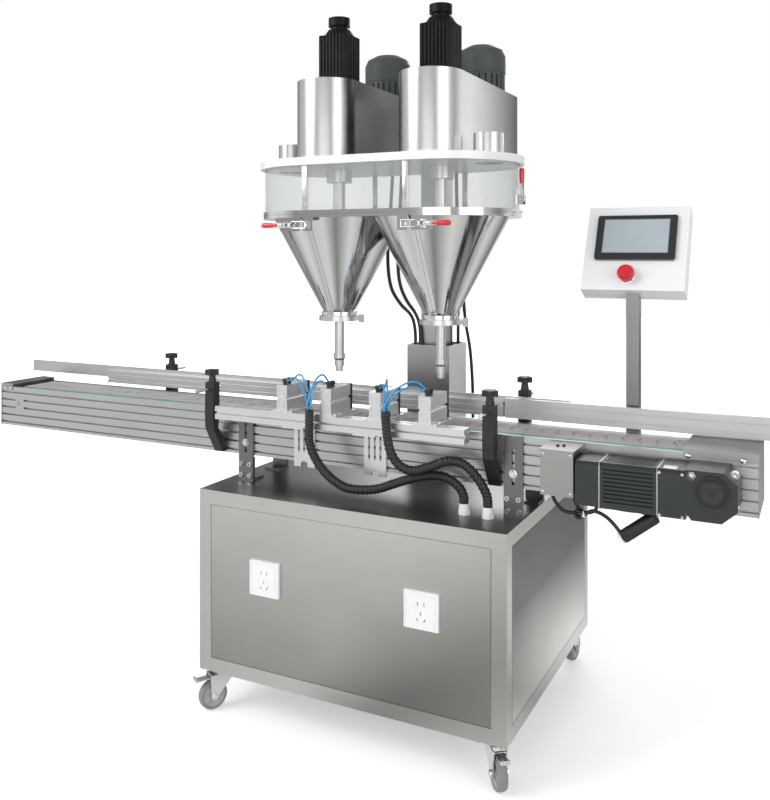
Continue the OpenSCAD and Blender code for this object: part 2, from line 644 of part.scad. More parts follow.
// Moulded guide brackets on the lowest slot, with the two front guide rods
bracket_x = [-28, cab_w - 71];
rear_x = [-378, cab_w - 66];
bracket_t = 28;
rod_z = guide_z;
knob_z = rod_z + 17;
out = 41;
module bracket(x, rod) {
    slot_z = conv_z + conv_h - 17 - 4 * slot_pitch;
    difference() {
        translate([x - bracket_t / 2, conv_y, 0]) rotate([90, 0, 90]) linear_extrude(bracket_t) polygon([
            [0, slot_z - 8], [-12, slot_z - 8], [-out - 13, slot_z + 62], [-out - 15, slot_z + 100],
            [-out - 13, knob_z], [-out + 13, knob_z], [-out + 13, slot_z + 90], [-out + 8, slot_z + 62],
            [-10, slot_z + 34], [0, slot_z + 34]]);
        translate([x, conv_y - out - 40, rod_z]) rod_y(rod_r + run, 80);
        translate([x, conv_y - out, rod_z + rod_r]) cylinder(r = 4 + run, h = 30);
    }
    if (rod) translate([x, 18, rod_z]) rod_y(rod_r + run, 104);
}
module guide_brackets() color(black) place() {
    for (x = bracket_x) bracket(x, true);
    for (x = rear_x) translate([0, 2 * belt_y, 0]) mirror([0, 1, 0]) bracket(x, false);
}
module star_knob(x, y) color(black) place() translate([x, y, knob_z]) {
    translate([0, 0, rod_z + rod_r + 0.3 - knob_z]) cylinder(r = 4, h = 14);
    translate([0, 0, 0.3]) cylinder(r1 = 11, r2 = 8, h = 20);
    translate([0, 0, 20]) linear_extrude(14) union() {
        circle(r = 15);
        for (i = [0 : 4]) rotate(i * 72) translate([14, 0]) circle(r = 6, $fn = 24);
    }
}
module knob_front_left() star_knob(bracket_x[0], conv_y - out);
module knob_front_right() star_knob(bracket_x[1], conv_y - out);
module knob_rear_left() star_knob(rear_x[0], conv_back + out);
module knob_rear_right() star_knob(rear_x[1], conv_back + out);

// Rear guide: flat bar, two grooved profiles and the two rods that slide in the rear brackets
guide_front = conv_back - 27;
module grooved(len, h, d) rotate([90, 0, 90]) linear_extrude(len) difference() {
    square([d, h]);
    for (z = [h * 0.3, h * 0.72]) translate([-eps, z - 2.5]) square([5 + eps, 5]);
}
module rear_guide() color(alu) place() {
    translate([rail_x0, guide_front + 15, guide_z - 29]) cube([905 - rail_x0, 5, 36]);
    translate([-581, guide_front, chain_z + 13]) grooved(1320, guide_h, 15);
    translate([743, guide_front, chain_z + 12]) grooved(rail_x1 - 743, 49, 15);
    for (x = rear_x) translate([x, guide_front + 19, rod_z]) rod_y(rod_r, 112);
}

// Beam across the front with its slotted brackets, the four twin-rod cylinders and their plates
beam_x = [0, bracket_x[1] - 54];
beam_y = 64;
beam_z = chain_z - 20;
cyl_x = [196, 326, 465, 598];
cyl_z = beam_z + beam_s + 4;
cyl_y = 65;
module t_profile(side) difference() {
    square(side);
    for (turn = [0 : 3]) translate([side / 2, side / 2]) rotate(turn * 90) translate([side / 2 - 6, -3])
        square([6 + eps, 6]);
    for (turn = [0 : 3]) translate([side / 2, side / 2]) rotate(turn * 90) translate([side / 2 - 8, -5.5])
        square([6, 11]);
}
module beam_bracket(x) {
    difference() {
        translate([x, conv_y - 6, conv_z - 12]) cube([62, 6, beam_z - conv_z + 12]);
        for (i = [0 : 2]) translate([x + 12 + i * 16, conv_y - 10, conv_z + 26]) cube([6, 20, 62]);
        translate([x + 31, conv_y + 10, conv_z - 12]) rotate([90, 0, 0]) linear_extrude(20)
            polygon([[-10, -2], [10, -2], [10, 10], [5, 15], [-5, 15], [-10, 10]]);
    }
    translate([x, beam_y, beam_z - 5]) cube([62, conv_y - beam_y, 5]);
}
module cylinder_body(x) {
    difference() {
        translate([x - 14, beam_y, beam_z + beam_s]) cube([60, 108, 4]);
        for (dx = [-7, 33]) translate([x + dx, beam_y + 46, beam_z + beam_s - eps]) cube([6, 54, 4 + 2 * eps]);
    }
    difference() {
        translate([x, cyl_y, cyl_z]) cube([cyl_w, cyl_len, cyl_h]);
        for (z = [0.27, 0.73]) translate([x + cyl_w / 2, cyl_y, cyl_z + z * cyl_h]) {
            translate([0, 12, 0]) rod_y(piston_r + run, cyl_len);
            translate([0, -eps, 0]) rotate([-90, 0, 0]) ring(12, 9.5, 2.5);
        }
        for (side = [0, 1]) translate([x + side * cyl_w, cyl_y - eps, cyl_z + cyl_h / 2]) rotate([-90, 45, 0])
            translate([-3, -3, 0]) cube([6, 6, cyl_len + 2 * eps]);
    }
    for (dy = [16, 36]) translate([x + cyl_w / 2, cyl_y + dy, cyl_z + cyl_h]) {
        cylinder(r = 4.5, h = 7);
        translate([-5, -5, 7]) cube([10, 10, 8]);
    }
}
module cylinder_station() color(alu) place() {
    translate([beam_x[0], beam_y, beam_z]) rotate([90, 0, 90]) linear_extrude(beam_x[1] - beam_x[0])
        t_profile(beam_s);
    for (x = [212, 420]) beam_bracket(x);
    for (x = cyl_x) cylinder_body(x);
}

// Moving part of each cylinder: two rods and a black end plate
module piston(i) color(black) place() translate([cyl_x[i] + cyl_w / 2, cyl_y + cyl_len, 0]) {
    for (z = [0.27, 0.73]) translate([0, -60, cyl_z + z * cyl_h]) rod_y(piston_r, 64);
    translate([-cyl_w / 2, 3, cyl_z]) cube([cyl_w, 8, cyl_h]);
}
module piston_1() piston(0);
module piston_2() piston(1);
module piston_3() piston(2);
module piston_4() piston(3);

// Air tubes from the cylinders' fittings down into the two conduits, and the conduits to their glands
conduit_routes = [
    [[308, 44, 800], [308, 44, 785], [308, 44, 770], [308, 44, 720], [320, 46, 685], [345, 50, 650],
        [378, 54, 624], [416, 60, 610], [478, 68, 614], [524, 76, 630], [569, 82, 647], [618, 88, 660],
        [655, 94, 658], [686, 98, 640], [699, 100, 619], [700, 100, 611], [700, 100, 606], [700, 100, 601]],
    [[522, 44, 812], [522, 44, 800], [522, 44, 788], [527, 45, 742], [536, 47, 710], [556, 51, 684],
        [588, 58, 674], [628, 66, 686], [662, 74, 700], [692, 82, 701], [716, 88, 688], [740, 92, 662],
        [757, 95, 632], [761, 96, 613], [761, 96, 607], [761, 96, 601]]];
conduit_r = 11;
module conduits() color(black) place() for (route = conduit_routes) cord(route, conduit_r, 4, 10);
tube_routes = [
    [[217, 81, 862], [221, 81, 862], [225, 81, 862], [242, 72, 871], [268, 58, 866], [290, 48, 838],
        [302, 44, 814], [302, 44, 807], [302, 44, 800]],
    [[217, 101, 862], [221, 101, 862], [225, 101, 862], [248, 90, 877], [278, 66, 872], [300, 53, 840],
        [308, 48, 814], [308, 48, 807], [308, 48, 800]],
    [[337, 81, 862], [334, 81, 862], [331, 81, 862], [324, 70, 868], [318, 58, 860], [315, 48, 835],
        [313, 42, 814], [313, 42, 807], [313, 42, 800]],
    [[337, 101, 862], [334, 101, 862], [331, 101, 862], [324, 84, 882], [318, 62, 874], [310, 48, 845],
        [306, 38, 814], [306, 38, 807], [306, 38, 800]],
    [[486, 81, 862], [489, 81, 862], [492, 81, 862], [502, 70, 871], [511, 58, 866], [516, 48, 845],
        [517, 44, 826], [517, 44, 819], [517, 44, 812]],
    [[486, 101, 862], [489, 101, 862], [492, 101, 862], [504, 86, 882], [516, 62, 874], [522, 52, 848],
        [522, 49, 826], [522, 49, 819], [522, 49, 812]],
    [[609, 81, 862], [605, 81, 862], [601, 81, 862], [588, 72, 870], [562, 58, 866], [538, 48, 846],
        [528, 44, 826], [528, 44, 819], [528, 44, 812]],
    [[609, 101, 862], [605, 101, 862], [601, 101, 862], [582, 88, 880], [556, 64, 874], [534, 48, 850],
        [522, 38, 826], [522, 38, 819], [522, 38, 812]]];
air_r = 2.5;
module air_tubes() color("#2f86c8") place() for (route = tube_routes) cord(route, air_r, 3);

// White cable glands on the cabinet, and the grommet of the rear cable
gland_h = 26;
module gland() {
    translate([0, 0, -10]) cylinder(r = gland_r - run, h = 11);
    cylinder(r = 15, h = 10, $fn = 6);
    translate([0, 0, 10]) cylinder(r1 = 13, r2 = 11.5, h = gland_h - 10);
}
module cable_glands() color("white") place() {
    for (p = hole_at) translate([p[0], p[1], deck_z]) gland();
    translate([grommet_at[0], grommet_at[1], deck_z]) difference() {
        union() {
            cylinder(r = 14, h = 4);
            translate([0, 0, -5]) cylinder(r = gland_r - run, h = 6);
        }
        translate([0, 0, -10]) cylinder(r = 6.5, h = 20);
    }
}

// Post on the conveyor's rear face with a slanted top that meets the panel's underside
post_x0 = hmi_x - hmi_post_s / 2;
function under_panel(y) = hmi_z - (y - hmi_y) * tan(hmi_lean) - seat_gap / 2;
module hmi_post() color(alu) place() {
    translate([post_x0, 0, 0]) rotate([90, 0, 90]) linear_extrude(hmi_post_s) polygon([
        [conv_back, conv_z + 6], [conv_back + hmi_post_s, conv_z + 6],
        [conv_back + hmi_post_s, under_panel(conv_back + hmi_post_s)], [conv_back, under_panel(conv_back)]]);
    for (z = [conv_z + 24, conv_z + 96]) translate([post_x0 - 20, conv_back, z]) {
        difference() {
            cube([hmi_post_s + 40, hmi_post_s, 12]);
            translate([20, -eps, -eps]) cube([hmi_post_s, 2 * hmi_post_s, 12 + 2 * eps]);
            for (x = [-eps, 23 + hmi_post_s]) translate([x, 5, -eps]) cube([17 + eps, hmi_post_s, 12 + 2 * eps]);
        }
    }
}

// Sloping operator panel with bezel, screen and switch collar
screen_w = 188;
screen_h = 118;
stop_x = hmi_x - 13;
stop_up = 37;
module on_panel() translate([hmi_x, hmi_y, hmi_z]) rotate([-hmi_lean, 0, 0]) children();
module hmi_box() color("#e4e6e7") place() on_panel() {
    translate([-hmi_w / 2, 0, 0]) difference() {
        cube([hmi_w, hmi_t, hmi_h]);
        translate([2, 2, 2]) cube([hmi_w - 4, hmi_t - 4, hmi_h - 4]);
        translate([hmi_w / 2 + stop_x - hmi_x, -eps, stop_up]) rod_y(11 + run, 10);
    }
    difference() {
        translate([-screen_w / 2, -7, hmi_h - screen_h - 28]) cube([screen_w, 7, screen_h]);
        translate([-screen_w / 2 + 18, -7 - eps, hmi_h - screen_h - 12]) cube([screen_w - 36, 2, screen_h - 32]);
    }
    translate([stop_x - hmi_x, -3, stop_up]) rotate([-90, 0, 0]) ring(17, 11 + run, 3);
}
module e_stop_button() color("red") place() on_panel() translate([stop_x - hmi_x, 0, stop_up]) {
    translate([0, -16, 0]) rod_y(11, 34);
    translate([0, -28, 0]) rotate([-90, 0, 0]) cylinder(r1 = 17, r2 = 20, h = 6);
    translate([0, -22, 0]) rod_y(20, 8);
}

// Column post with the base plate that carries the whole head, and its two bearing housings
post_low = 65;
hub_r = 16;
boss_r = 34;
module cover_outline(r) {
    translate([0, 154 - axis_y]) circle(r = r);
    translate([-r, 154 - axis_y]) square([2 * r, 426]);
}
module column_post() color(steel) place() {
    difference() {
        translate([head_x - post_s / 2, post_y - post_s / 2, deck_z + post_low])
            cube([post_s, post_s, base_z - deck_z - post_low]);
        translate([head_x - post_s / 2 + 4, post_y - post_s / 2 + 4, deck_z + post_low - eps])
            cube([post_s - 8, post_s - 8, base_z - deck_z - post_low - 10]);
    }
    difference() {
        translate([0, 0, base_z]) linear_extrude(base_t) union() {
            for (x = axis_x) translate([x, axis_y]) cover_outline(cover_r);
            translate([axis_x[0], 440]) square([axis_gap, 140]);
        }
        for (x = axis_x) translate([x, axis_y, base_z - eps]) cylinder(r = boss_r - 4, h = base_t + 2 * eps);
    }
    for (x = axis_x) translate([x, axis_y, base_z - 50]) difference() {
        union() {
            cylinder(r = boss_r, h = 50);
            translate([0, 0, 50]) cylinder(r = boss_r - 4, h = base_t);
        }
        translate([0, 0, -eps]) cylinder(r = hub_r + run, h = 80);
    }
}

// White top plate with openings for the bearing housings and the feed ports
port_at = [[164, 191], [728, 191]];
module stadium(r) union() {
    for (side = [-1, 1]) translate([head_x + side * end_x, axis_y]) circle(r = r, $fn = 96);
    translate([head_x - end_x, axis_y - r]) square([2 * end_x, 2 * r]);
}
module top_plate() color("white") place() translate([0, 0, plate_z]) linear_extrude(plate_t) difference() {
    stadium(plate_r);
    for (x = axis_x) translate([x, axis_y]) circle(r = boss_r + run);
    for (p = port_at) translate(p) circle(r = port_r);
}

// Clear shroud with its joint strips
module clear_shroud() color("lightblue", 0.4) place() translate([0, 0, shroud_z]) linear_extrude(shroud_h) {
    difference() {
        stadium(ring_r - 4);
        stadium(ring_r - 4 - shroud_t);
    }
    for (x = [-1, 1]) for (y = [-1, 1]) translate([head_x + x * (end_x - 20) - 7, axis_y + y * (ring_r - 3) - 1])
        square([14, 2]);
}

// Hopper shells: the fixed inner halves of both cones, the flange rings, collars, seam strips and keepers
module cones(shrink) for (x = axis_x) translate([x, axis_y, cone_z])
    cylinder(r1 = cone_r2 - shrink, r2 = cone_r1 - shrink, h = cone_h);
module cone_shell() difference() {
    cones(0);
    cones(cone_t);
}
module ring_plate() linear_extrude(ring_t - gap) difference() {
    stadium(ring_r);
    for (x = axis_x) translate([x, axis_y]) circle(r = cone_r1 - cone_t);
}
module seam_strip() translate([0, axis_y, cone_z]) rotate([90, 0, 90]) linear_extrude(9) polygon([
    [-cone_r2 + 1.3, 0.3], [-cone_r2 - 2, 0.3], [-cone_r1 - 2, cone_h], [-cone_r1 + 1.3, cone_h]]);
latch_z = low_ring_z - 19;
latch_y = axis_y - ring_r;
tab_h = 34;
module inner_slab(z0, h) translate([axis_x[0] + gap, axis_y - 300, z0]) cube([axis_gap - 2 * gap, 600, h]);
module hopper_shells() color(steel) place() {
    intersection() {
        union() {
            cone_shell();
            translate([0, 0, low_ring_z]) ring_plate();
        }
        inner_slab(cone_z, cone_h + ring_t);
    }
    translate([0, 0, top_ring_z]) linear_extrude(ring_t) difference() {
        stadium(ring_r);
        for (x = axis_x) translate([x, axis_y]) circle(r = cone_r1 - cone_t);
    }
    translate([axis_x[0] + 40, axis_y + cone_r1 + 2, low_ring_z + ring_t - gap - eps])
        cube([axis_gap - 80, 12, gap + 2 * eps]);
    for (x = axis_x) translate([x, axis_y, cone_z - 8]) ring(48, cone_r2 - cone_t, 8);
    for (side = [0, 1]) translate([side * 2 * head_x, 0, 0]) mirror([side, 0, 0])
        translate([axis_x[0], 0, 0]) fixed_half_fittings();
    end_latch_base();
}
module fixed_half_fittings() {
    translate([gap, 0, 0]) seam_strip();
    translate([6, latch_y, low_ring_z - tab_h]) cube([24, 4, tab_h]);
    translate([8, latch_y - 7, latch_z - 4]) cube([6, 8, 8]);
    translate([0, hinge_y, low_ring_z - 14]) cylinder(r = 6, h = 14);
    translate([0, hinge_y - 6, low_ring_z - 14]) cube([25, 12, 14]);
    translate([7, hinge_y - 20, low_ring_z - 14]) cube([18, 20, 14]);
    translate([0, hinge_y, low_ring_z - 34]) cylinder(r = 3, h = 34);
}

// Right-end latch base on the upper ring
end_latch_x = head_x + end_x + ring_r;
end_pivot = [end_latch_x + 10, top_ring_z + 33];
module end_latch_base() {
    translate([end_latch_x - 3.7, axis_y - 14, top_ring_z + 1]) cube([3.7, 28, 56]);
    for (y = [axis_y - 11, axis_y + 8]) difference() {
        translate([end_latch_x - 1, y, end_pivot[1] - 12]) cube([17, 3, 22]);
        translate([end_pivot[0], y - eps, end_pivot[1]]) rod_y(3 + run, 3 + 2 * eps);
    }
    for (y = [axis_y - 9.5, axis_y + 9.5]) translate([end_latch_x + 8, y, top_ring_z + 3])
        cylinder(r = 1.5, h = 20);
    translate([end_latch_x + 8, axis_y - 11, top_ring_z + 3]) rod_y(1.5, 22);
}

// Outer half of a hopper: a door on a rear hinge, with its latch base
pivot_x = -30;
pivot_y = latch_y - 10;
ear_h = 3;
lever_h = 13;
module door_half() {
    intersection() {
        union() {
            translate([0, 0, 0.3]) cone_shell();
            translate([0, 0, low_ring_z]) ring_plate();
        }
        translate([axis_x[0] - gap - 300, axis_y - 300, cone_z + 0.3]) cube([300, 600, cone_h + ring_t]);
    }
    translate([axis_x[0], 0, 0]) {
        translate([-gap - 9, 0, 0]) seam_strip();
        translate([-25, hinge_y - 20, low_ring_z - 29]) cube([18, 12, 29]);
        difference() {
            union() {
                translate([-25, hinge_y - 10, low_ring_z - 29]) cube([25, 16, 14.7]);
                translate([0, hinge_y, low_ring_z - 29]) cylinder(r = 6, h = 14.7);
            }
            translate([0, hinge_y, low_ring_z - 40]) cylinder(r = 3 + run, h = 40);
        }
        translate([-62, latch_y, low_ring_z - tab_h]) cube([56, 4, tab_h]);
        for (z = [latch_z - lever_h / 2 - ear_h, latch_z + lever_h / 2]) difference() {
            translate([pivot_x - 7, pivot_y - 6, z]) cube([14, 18, ear_h]);
            translate([pivot_x, pivot_y, z - eps]) cylinder(r = 3 + run, h = ear_h + 2 * eps);
        }
        for (z = [latch_z - lever_h / 2 - 1.5, latch_z + lever_h / 2 + 1.5])
            translate([pivot_x + 5, pivot_y, z]) rod_x(1.5, 42);
        translate([pivot_x + 46, pivot_y, latch_z - lever_h / 2 - 3]) cylinder(r = 1.5, h = lever_h + 6);
    }
}
module hopper_door_left() color(steel) place() door_half();
module hopper_door_right() color(steel) place() translate([2 * head_x, 0, 0]) mirror([1, 0, 0]) door_half();

// Latch levers with red grips
module latch_lever() {
    translate([0, 0, -lever_h / 2 - ear_h]) cylinder(r = 3, h = lever_h + 2 * ear_h);
    translate([-40, -3, -lever_h / 2 + 0.3]) cube([46, 6, lever_h - 0.6]);
    translate([-80, -4.5, -lever_h / 2 + 0.8]) cube([44, 9, lever_h - 1.6]);
}
module latch_lever_left() color("crimson") place()
    translate([axis_x[0] + pivot_x, pivot_y, latch_z]) latch_lever();
module latch_lever_right() color("crimson") place()
    translate([axis_x[1] - pivot_x, pivot_y, latch_z]) mirror([1, 0, 0]) latch_lever();
module latch_lever_end() color("crimson") place() translate([end_pivot[0], axis_y, end_pivot[1]]) {
    translate([0, -11, 0]) rod_y(3, 22);
    translate([-3, -7.7, -6]) cube([6, 15.4, 44]);
    translate([-4.5, -6, 34]) cube([9, 12, 42]);
}

// Stainless covers over the two drives, and the two feed ports through the top plate
module drive_covers() color(steel) place() {
    for (x = axis_x) translate([x, axis_y, cover_z]) difference() {
        linear_extrude(cover_h) cover_outline(cover_r);
        translate([0, 0, -eps]) linear_extrude(cover_h - 3 + eps) translate([0, 0]) cover_outline(cover_r - 2);
        translate([-cover_r, 365.9, -eps]) cube([2 * cover_r, 10, cover_h - 3 + eps]);
        translate([0, 0, cover_h - 10]) cylinder(r = 28, h = 20);
        translate([0, post_x_motor, cover_h - 10]) cylinder(r = 24, h = 20);
    }
    for (x = axis_x) translate([x - cover_r, axis_y + 366, cover_z]) cube([2 * cover_r, 2, cover_h]);
    for (p = port_at) translate([p[0], p[1], plate_z]) {
        ring(port_r, port_r - port_t, plate_t + port_h);
        translate([0, 0, plate_t]) ring(port_r + 8, port_r, 3);
    }
}

// Servo motors over the augers and agitator motors behind them
post_x_motor = 293;
servo_s = 86;
servo_h = 149;
module servo() {
    difference() {
        translate([0, 0, 6]) linear_extrude(servo_h - 24) difference() {
            translate([-servo_s / 2, -servo_s / 2]) square(servo_s);
            for (turn = [0 : 3]) rotate(turn * 90) {
                translate([servo_s / 2, servo_s / 2]) rotate(45) square(12, center = true);
                for (k = [-3 : 3]) translate([servo_s / 2 - 3, k * 10 - 2]) square([4, 4]);
            }
        }
    }
    translate([-servo_s / 2, -servo_s / 2, 0]) cube([servo_s, servo_s, 6]);
    translate([0, 0, servo_h - 18]) cylinder(r1 = 42, r2 = 30, h = 18);
    translate([0, 0, servo_h]) cylinder(r = 22, h = 10);
    translate([0, 0, servo_h + 10]) cylinder(r = 29, h = 22);
    translate([0, 0, -8]) cylinder(r = 28, h = 8);
    translate([0, 0, -40]) cylinder(r = 9, h = 34);
}
module agitator_motor() {
    difference() {
        cylinder(r = 66, h = 57);
        for (i = [0 : 23]) rotate([0, 0, i * 15]) translate([60, -2, 6]) cube([10, 5, 44]);
    }
    translate([0, 0, 57]) cylinder(r = 68, h = 48);
    translate([0, 0, 105]) cylinder(r1 = 68, r2 = 60, h = 18);
    translate([0, 0, 123]) cylinder(r1 = 60, r2 = 36, h = 13);
    translate([0, 0, -6]) cylinder(r = 24, h = 6);
    translate([0, 0, -110]) cylinder(r = 9, h = 106);
}
module head_motors() color(dark) place() for (x = axis_x) translate([x, axis_y, motor_z]) {
    servo();
    translate([0, post_x_motor, 0]) agitator_motor();
}

// Augers: coupling, shaft with two bearing collars, and the twisted flight in the filling tube
auger_r = 10;
core_r = 4;
flight_h = 150;
auger_z = cone_z - 8 - 16 - tube_len + 1;
hub_top = cover_z + 60;
module auger(x) color(steel) place() translate([x, axis_y, 0]) {
    translate([0, 0, auger_z]) linear_extrude(flight_h, twist = -360 * 6, slices = 60, segments = 8) union() {
        circle(r = core_r, $fn = 8);
        translate([0, -1.2]) square([auger_r, 2.4]);
    }
    translate([0, 0, auger_z + flight_h]) cylinder(r = 8, h = motor_z - 41 - auger_z - flight_h);
    for (z = [low_ring_z - 40, hub_top - 20]) translate([0, 0, z]) cylinder(r = hub_r - 4 - run, h = 20);
    translate([0, 0, hub_top + 0.2]) cylinder(r = 15, h = 8);
    translate([0, 0, motor_z - 90]) cylinder(r = 20, h = 49.5);
}
module auger_left() auger(axis_x[0]);
module auger_right() auger(axis_x[1]);

// Agitators: hollow hub around each auger, two arms and scraper blades along the cone
blade_r = min(148, axis_gap / 2 - 3);
module agitator(x) color(steel) place() translate([x, axis_y, 0]) {
    translate([0, 0, low_ring_z - 60]) ring(hub_r, hub_r - 4, hub_top - low_ring_z + 60);
    translate([0, 0, cover_z + 0.2]) ring(26, hub_r - 2, 6);
    translate([0, 0, cover_z + 34]) ring(46, hub_r - 2, 8);
    for (side = [0, 1]) mirror([side, 0, 0]) rotate([90, 0, 0]) translate([0, 0, -3]) linear_extrude(6) polygon([
        [hub_r - 2, low_ring_z - 50], [hub_r - 2, low_ring_z - 30], [blade_r, low_ring_z - 12],
        [blade_r, low_ring_z - 24], [blade_r - 150 * shell_slope, low_ring_z - 176],
        [blade_r - 150 * shell_slope - 14, low_ring_z - 176], [blade_r - 16, low_ring_z - 34]]);
}
module agitator_left() agitator(axis_x[0]);
module agitator_right() agitator(axis_x[1]);

// Filling tubes with clamp flange, wing screw, lock ring and tip
tube_z = cone_z - 8 - 16 - tube_len;
module nozzle() {
    difference() {
        union() {
            translate([0, 0, tube_z + 15]) cylinder(r = tube_r, h = tube_len - 15);
            translate([0, 0, tube_z + 20]) cylinder(r = tube_r + 3, h = 12);
            translate([0, 0, tube_z + 15]) cylinder(r1 = tube_r, r2 = tube_r + 3, h = 5);
            translate([0, 0, tube_z + tube_len - 0]) cylinder(r = 54, h = 13);
        }
        translate([0, 0, tube_z - eps]) cylinder(r = auger_r + 0.6, h = tube_len + 20);
    }
    translate([0, 0, tube_z - 15]) ring(9.5, 7, 15);
    translate([0, 0, tube_z - 1]) ring(tube_r, 7, 1.5);
    translate([0, 0, tube_z]) ring(tube_r, auger_r + 0.6, 15);
    translate([0, 0, tube_z + tube_len + 13]) ring(46, cone_r2 - cone_t, 3);
    translate([52, -6, tube_z + tube_len + 1]) cube([16, 12, 11]);
    translate([60, -2.5, tube_z + tube_len - 4]) cube([14, 5, 22]);
}
module nozzle_tubes() color(steel) place() for (x = axis_x) translate([x, axis_y, 0]) nozzle();

// Cables from the head down into the column box and through the cabinet's grommet
head_cable_routes = [
    [[330, 470, 1428], [330, 470, 1418], [330, 470, 1408], [323, 470, 1300], [315, 470, 1180],
        [324, 471, 1095], [352, 474, 1045], [386, 478, 1010], [396, 481, 980], [398, 484, 940],
        [398, 484, 880], [398, 484, 780]],
    [[352, 486, 1428], [352, 486, 1418], [352, 486, 1408], [346, 486, 1300], [340, 486, 1180],
        [346, 486, 1105], [366, 487, 1055], [394, 490, 1016], [408, 489, 984], [413, 485, 940],
        [414, 481, 880], [414, 480, 780]],
    [[498, 552, 1428], [498, 552, 1418], [498, 552, 1408], [498, 558, 1300], [497, 566, 1180],
        [495, 574, 1060], [493, 578, 970], [492, 580, 880], [492, 580, 780]],
    [[520, 562, 1428], [520, 562, 1418], [520, 562, 1408], [512, 584, 1300], [498, 612, 1180],
        [488, 634, 1060], [492, 642, 980], [506, 642, 900], [514, 641, 800], [516, 640, 700],
        [516, 640, 620], [516, 640, 550], [516, 640, 470]]];
cable_r = 5;
module head_cables() color(black) place() for (route = head_cable_routes) cord(route, cable_r, 4);

cabinet_shell();
cabinet_panels();
rear_door();
door_lock();
control_gear();
wall_sockets();
fork_front_left();
fork_front_right();
fork_rear_left();
fork_rear_right();
wheel_front_left();
wheel_front_right();
wheel_rear_left();
wheel_rear_right();
pedal_front_left();
pedal_front_right();
column_box();
support_legs();
conveyor_frame();
conveyor_chain();
wear_strips();
conveyor_covers();
drive_shaft();
idler_shaft();
gear_motor();
motor_cable();
guide_brackets();
knob_front_left();
knob_front_right();
knob_rear_left();
knob_rear_right();
rear_guide();
cylinder_station();
piston_1();
piston_2();
piston_3();
piston_4();
air_tubes();
conduits();
cable_glands();
hmi_post();
hmi_box();
e_stop_button();
column_post();
top_plate();
clear_shroud();
hopper_shells();
hopper_door_left();
hopper_door_right();
drive_covers();
head_motors();
auger_left();
auger_right();
agitator_left();
agitator_right();
nozzle_tubes();
latch_lever_left();
latch_lever_right();
latch_lever_end();
head_cables();
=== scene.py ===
from math import cos, pi, radians, sin
import bpy
import bmesh
from mathutils import Matrix, Vector


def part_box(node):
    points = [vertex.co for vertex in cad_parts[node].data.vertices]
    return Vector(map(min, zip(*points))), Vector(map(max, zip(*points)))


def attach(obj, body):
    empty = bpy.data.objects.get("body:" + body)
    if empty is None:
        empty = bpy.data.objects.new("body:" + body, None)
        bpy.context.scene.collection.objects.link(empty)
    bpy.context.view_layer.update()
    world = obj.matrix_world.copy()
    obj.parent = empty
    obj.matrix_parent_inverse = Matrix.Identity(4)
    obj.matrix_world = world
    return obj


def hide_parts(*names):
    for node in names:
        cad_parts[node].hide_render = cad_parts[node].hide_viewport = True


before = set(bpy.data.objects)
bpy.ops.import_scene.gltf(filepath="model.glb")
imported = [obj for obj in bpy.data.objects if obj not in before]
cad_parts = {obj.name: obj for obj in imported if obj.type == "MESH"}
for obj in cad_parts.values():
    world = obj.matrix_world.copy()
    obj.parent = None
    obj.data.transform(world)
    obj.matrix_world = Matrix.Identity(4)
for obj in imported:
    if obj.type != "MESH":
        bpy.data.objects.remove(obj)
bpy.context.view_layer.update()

# Powder filling machine. Places below are in millimetres from the cabinet's front left corner,
# heights from the floor.
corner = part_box("cabinet_shell")[0]
print("frame loaded")


def at(x, y, z):
    return Vector((corner.x + x / 1000, corner.y + y / 1000, z / 1000))


# Camera at the photograph's view: level, with the frame slid down to take in the casters
cameraSettings = {"place": (1466.06, -1840.13, 1193.47), "turn": 26.667, "lens": 39.62, "slide": -0.1851}
cameraData = bpy.data.cameras.new("camera")
cameraData.lens = cameraSettings["lens"]
cameraData.sensor_width = 36
cameraData.shift_y = cameraSettings["slide"]
cameraObject = bpy.data.objects.new("camera", cameraData)
cameraObject.location = at(*cameraSettings["place"])
cameraObject.rotation_euler = (radians(90), 0, radians(cameraSettings["turn"]))
bpy.context.scene.collection.objects.link(cameraObject)
bpy.context.scene.camera = cameraObject
bpy.context.scene.view_settings.view_transform = "Standard"


# Node helpers for the materials
def startMaterial(name):
    made = bpy.data.materials.new(name)
    made.use_nodes = True
    tree = made.node_tree
    return made, tree, tree.nodes["Principled BSDF"]


def node(tree, kind, **settings):
    made = tree.nodes.new(kind)
    for key, value in settings.items():
        if key in made.inputs.keys():
            made.inputs[key].default_value = value
        else:
            setattr(made, key.lower(), value)
    return made


def stretchedNoise(tree, scale, detail=3, roughness=0.55):
    where = node(tree, "ShaderNodeTexCoord")
    placed = node(tree, "ShaderNodeMapping", Scale=scale)
    grain = node(tree, "ShaderNodeTexNoise", Scale=1.0, Detail=detail, Roughness=roughness)
    tree.links.new(where.outputs["Object"], placed.inputs["Vector"])
    tree.links.new(placed.outputs["Vector"], grain.inputs["Vector"])
    return grain.outputs["Fac"]


def spread(tree, source, low, high, fromLow=0.3, fromHigh=0.7):
    ranged = node(tree, "ShaderNodeMapRange")
    for slotName, value in (("From Min", fromLow), ("From Max", fromHigh), ("To Min", low), ("To Max", high)):
        ranged.inputs[slotName].default_value = value
    tree.links.new(source, ranged.inputs["Value"])
    return ranged.outputs["Result"]


def blendColours(tree, factor, first, second):
    mixed = node(tree, "ShaderNodeMix", data_type="RGBA")
    tree.links.new(factor, mixed.inputs["Factor"])
    for socket, value in ((mixed.inputs[6], first), (mixed.inputs[7], second)):
        if isinstance(value, tuple):
            socket.default_value = (*value, 1)
        else:
            tree.links.new(value, socket)
    return mixed.outputs[2]


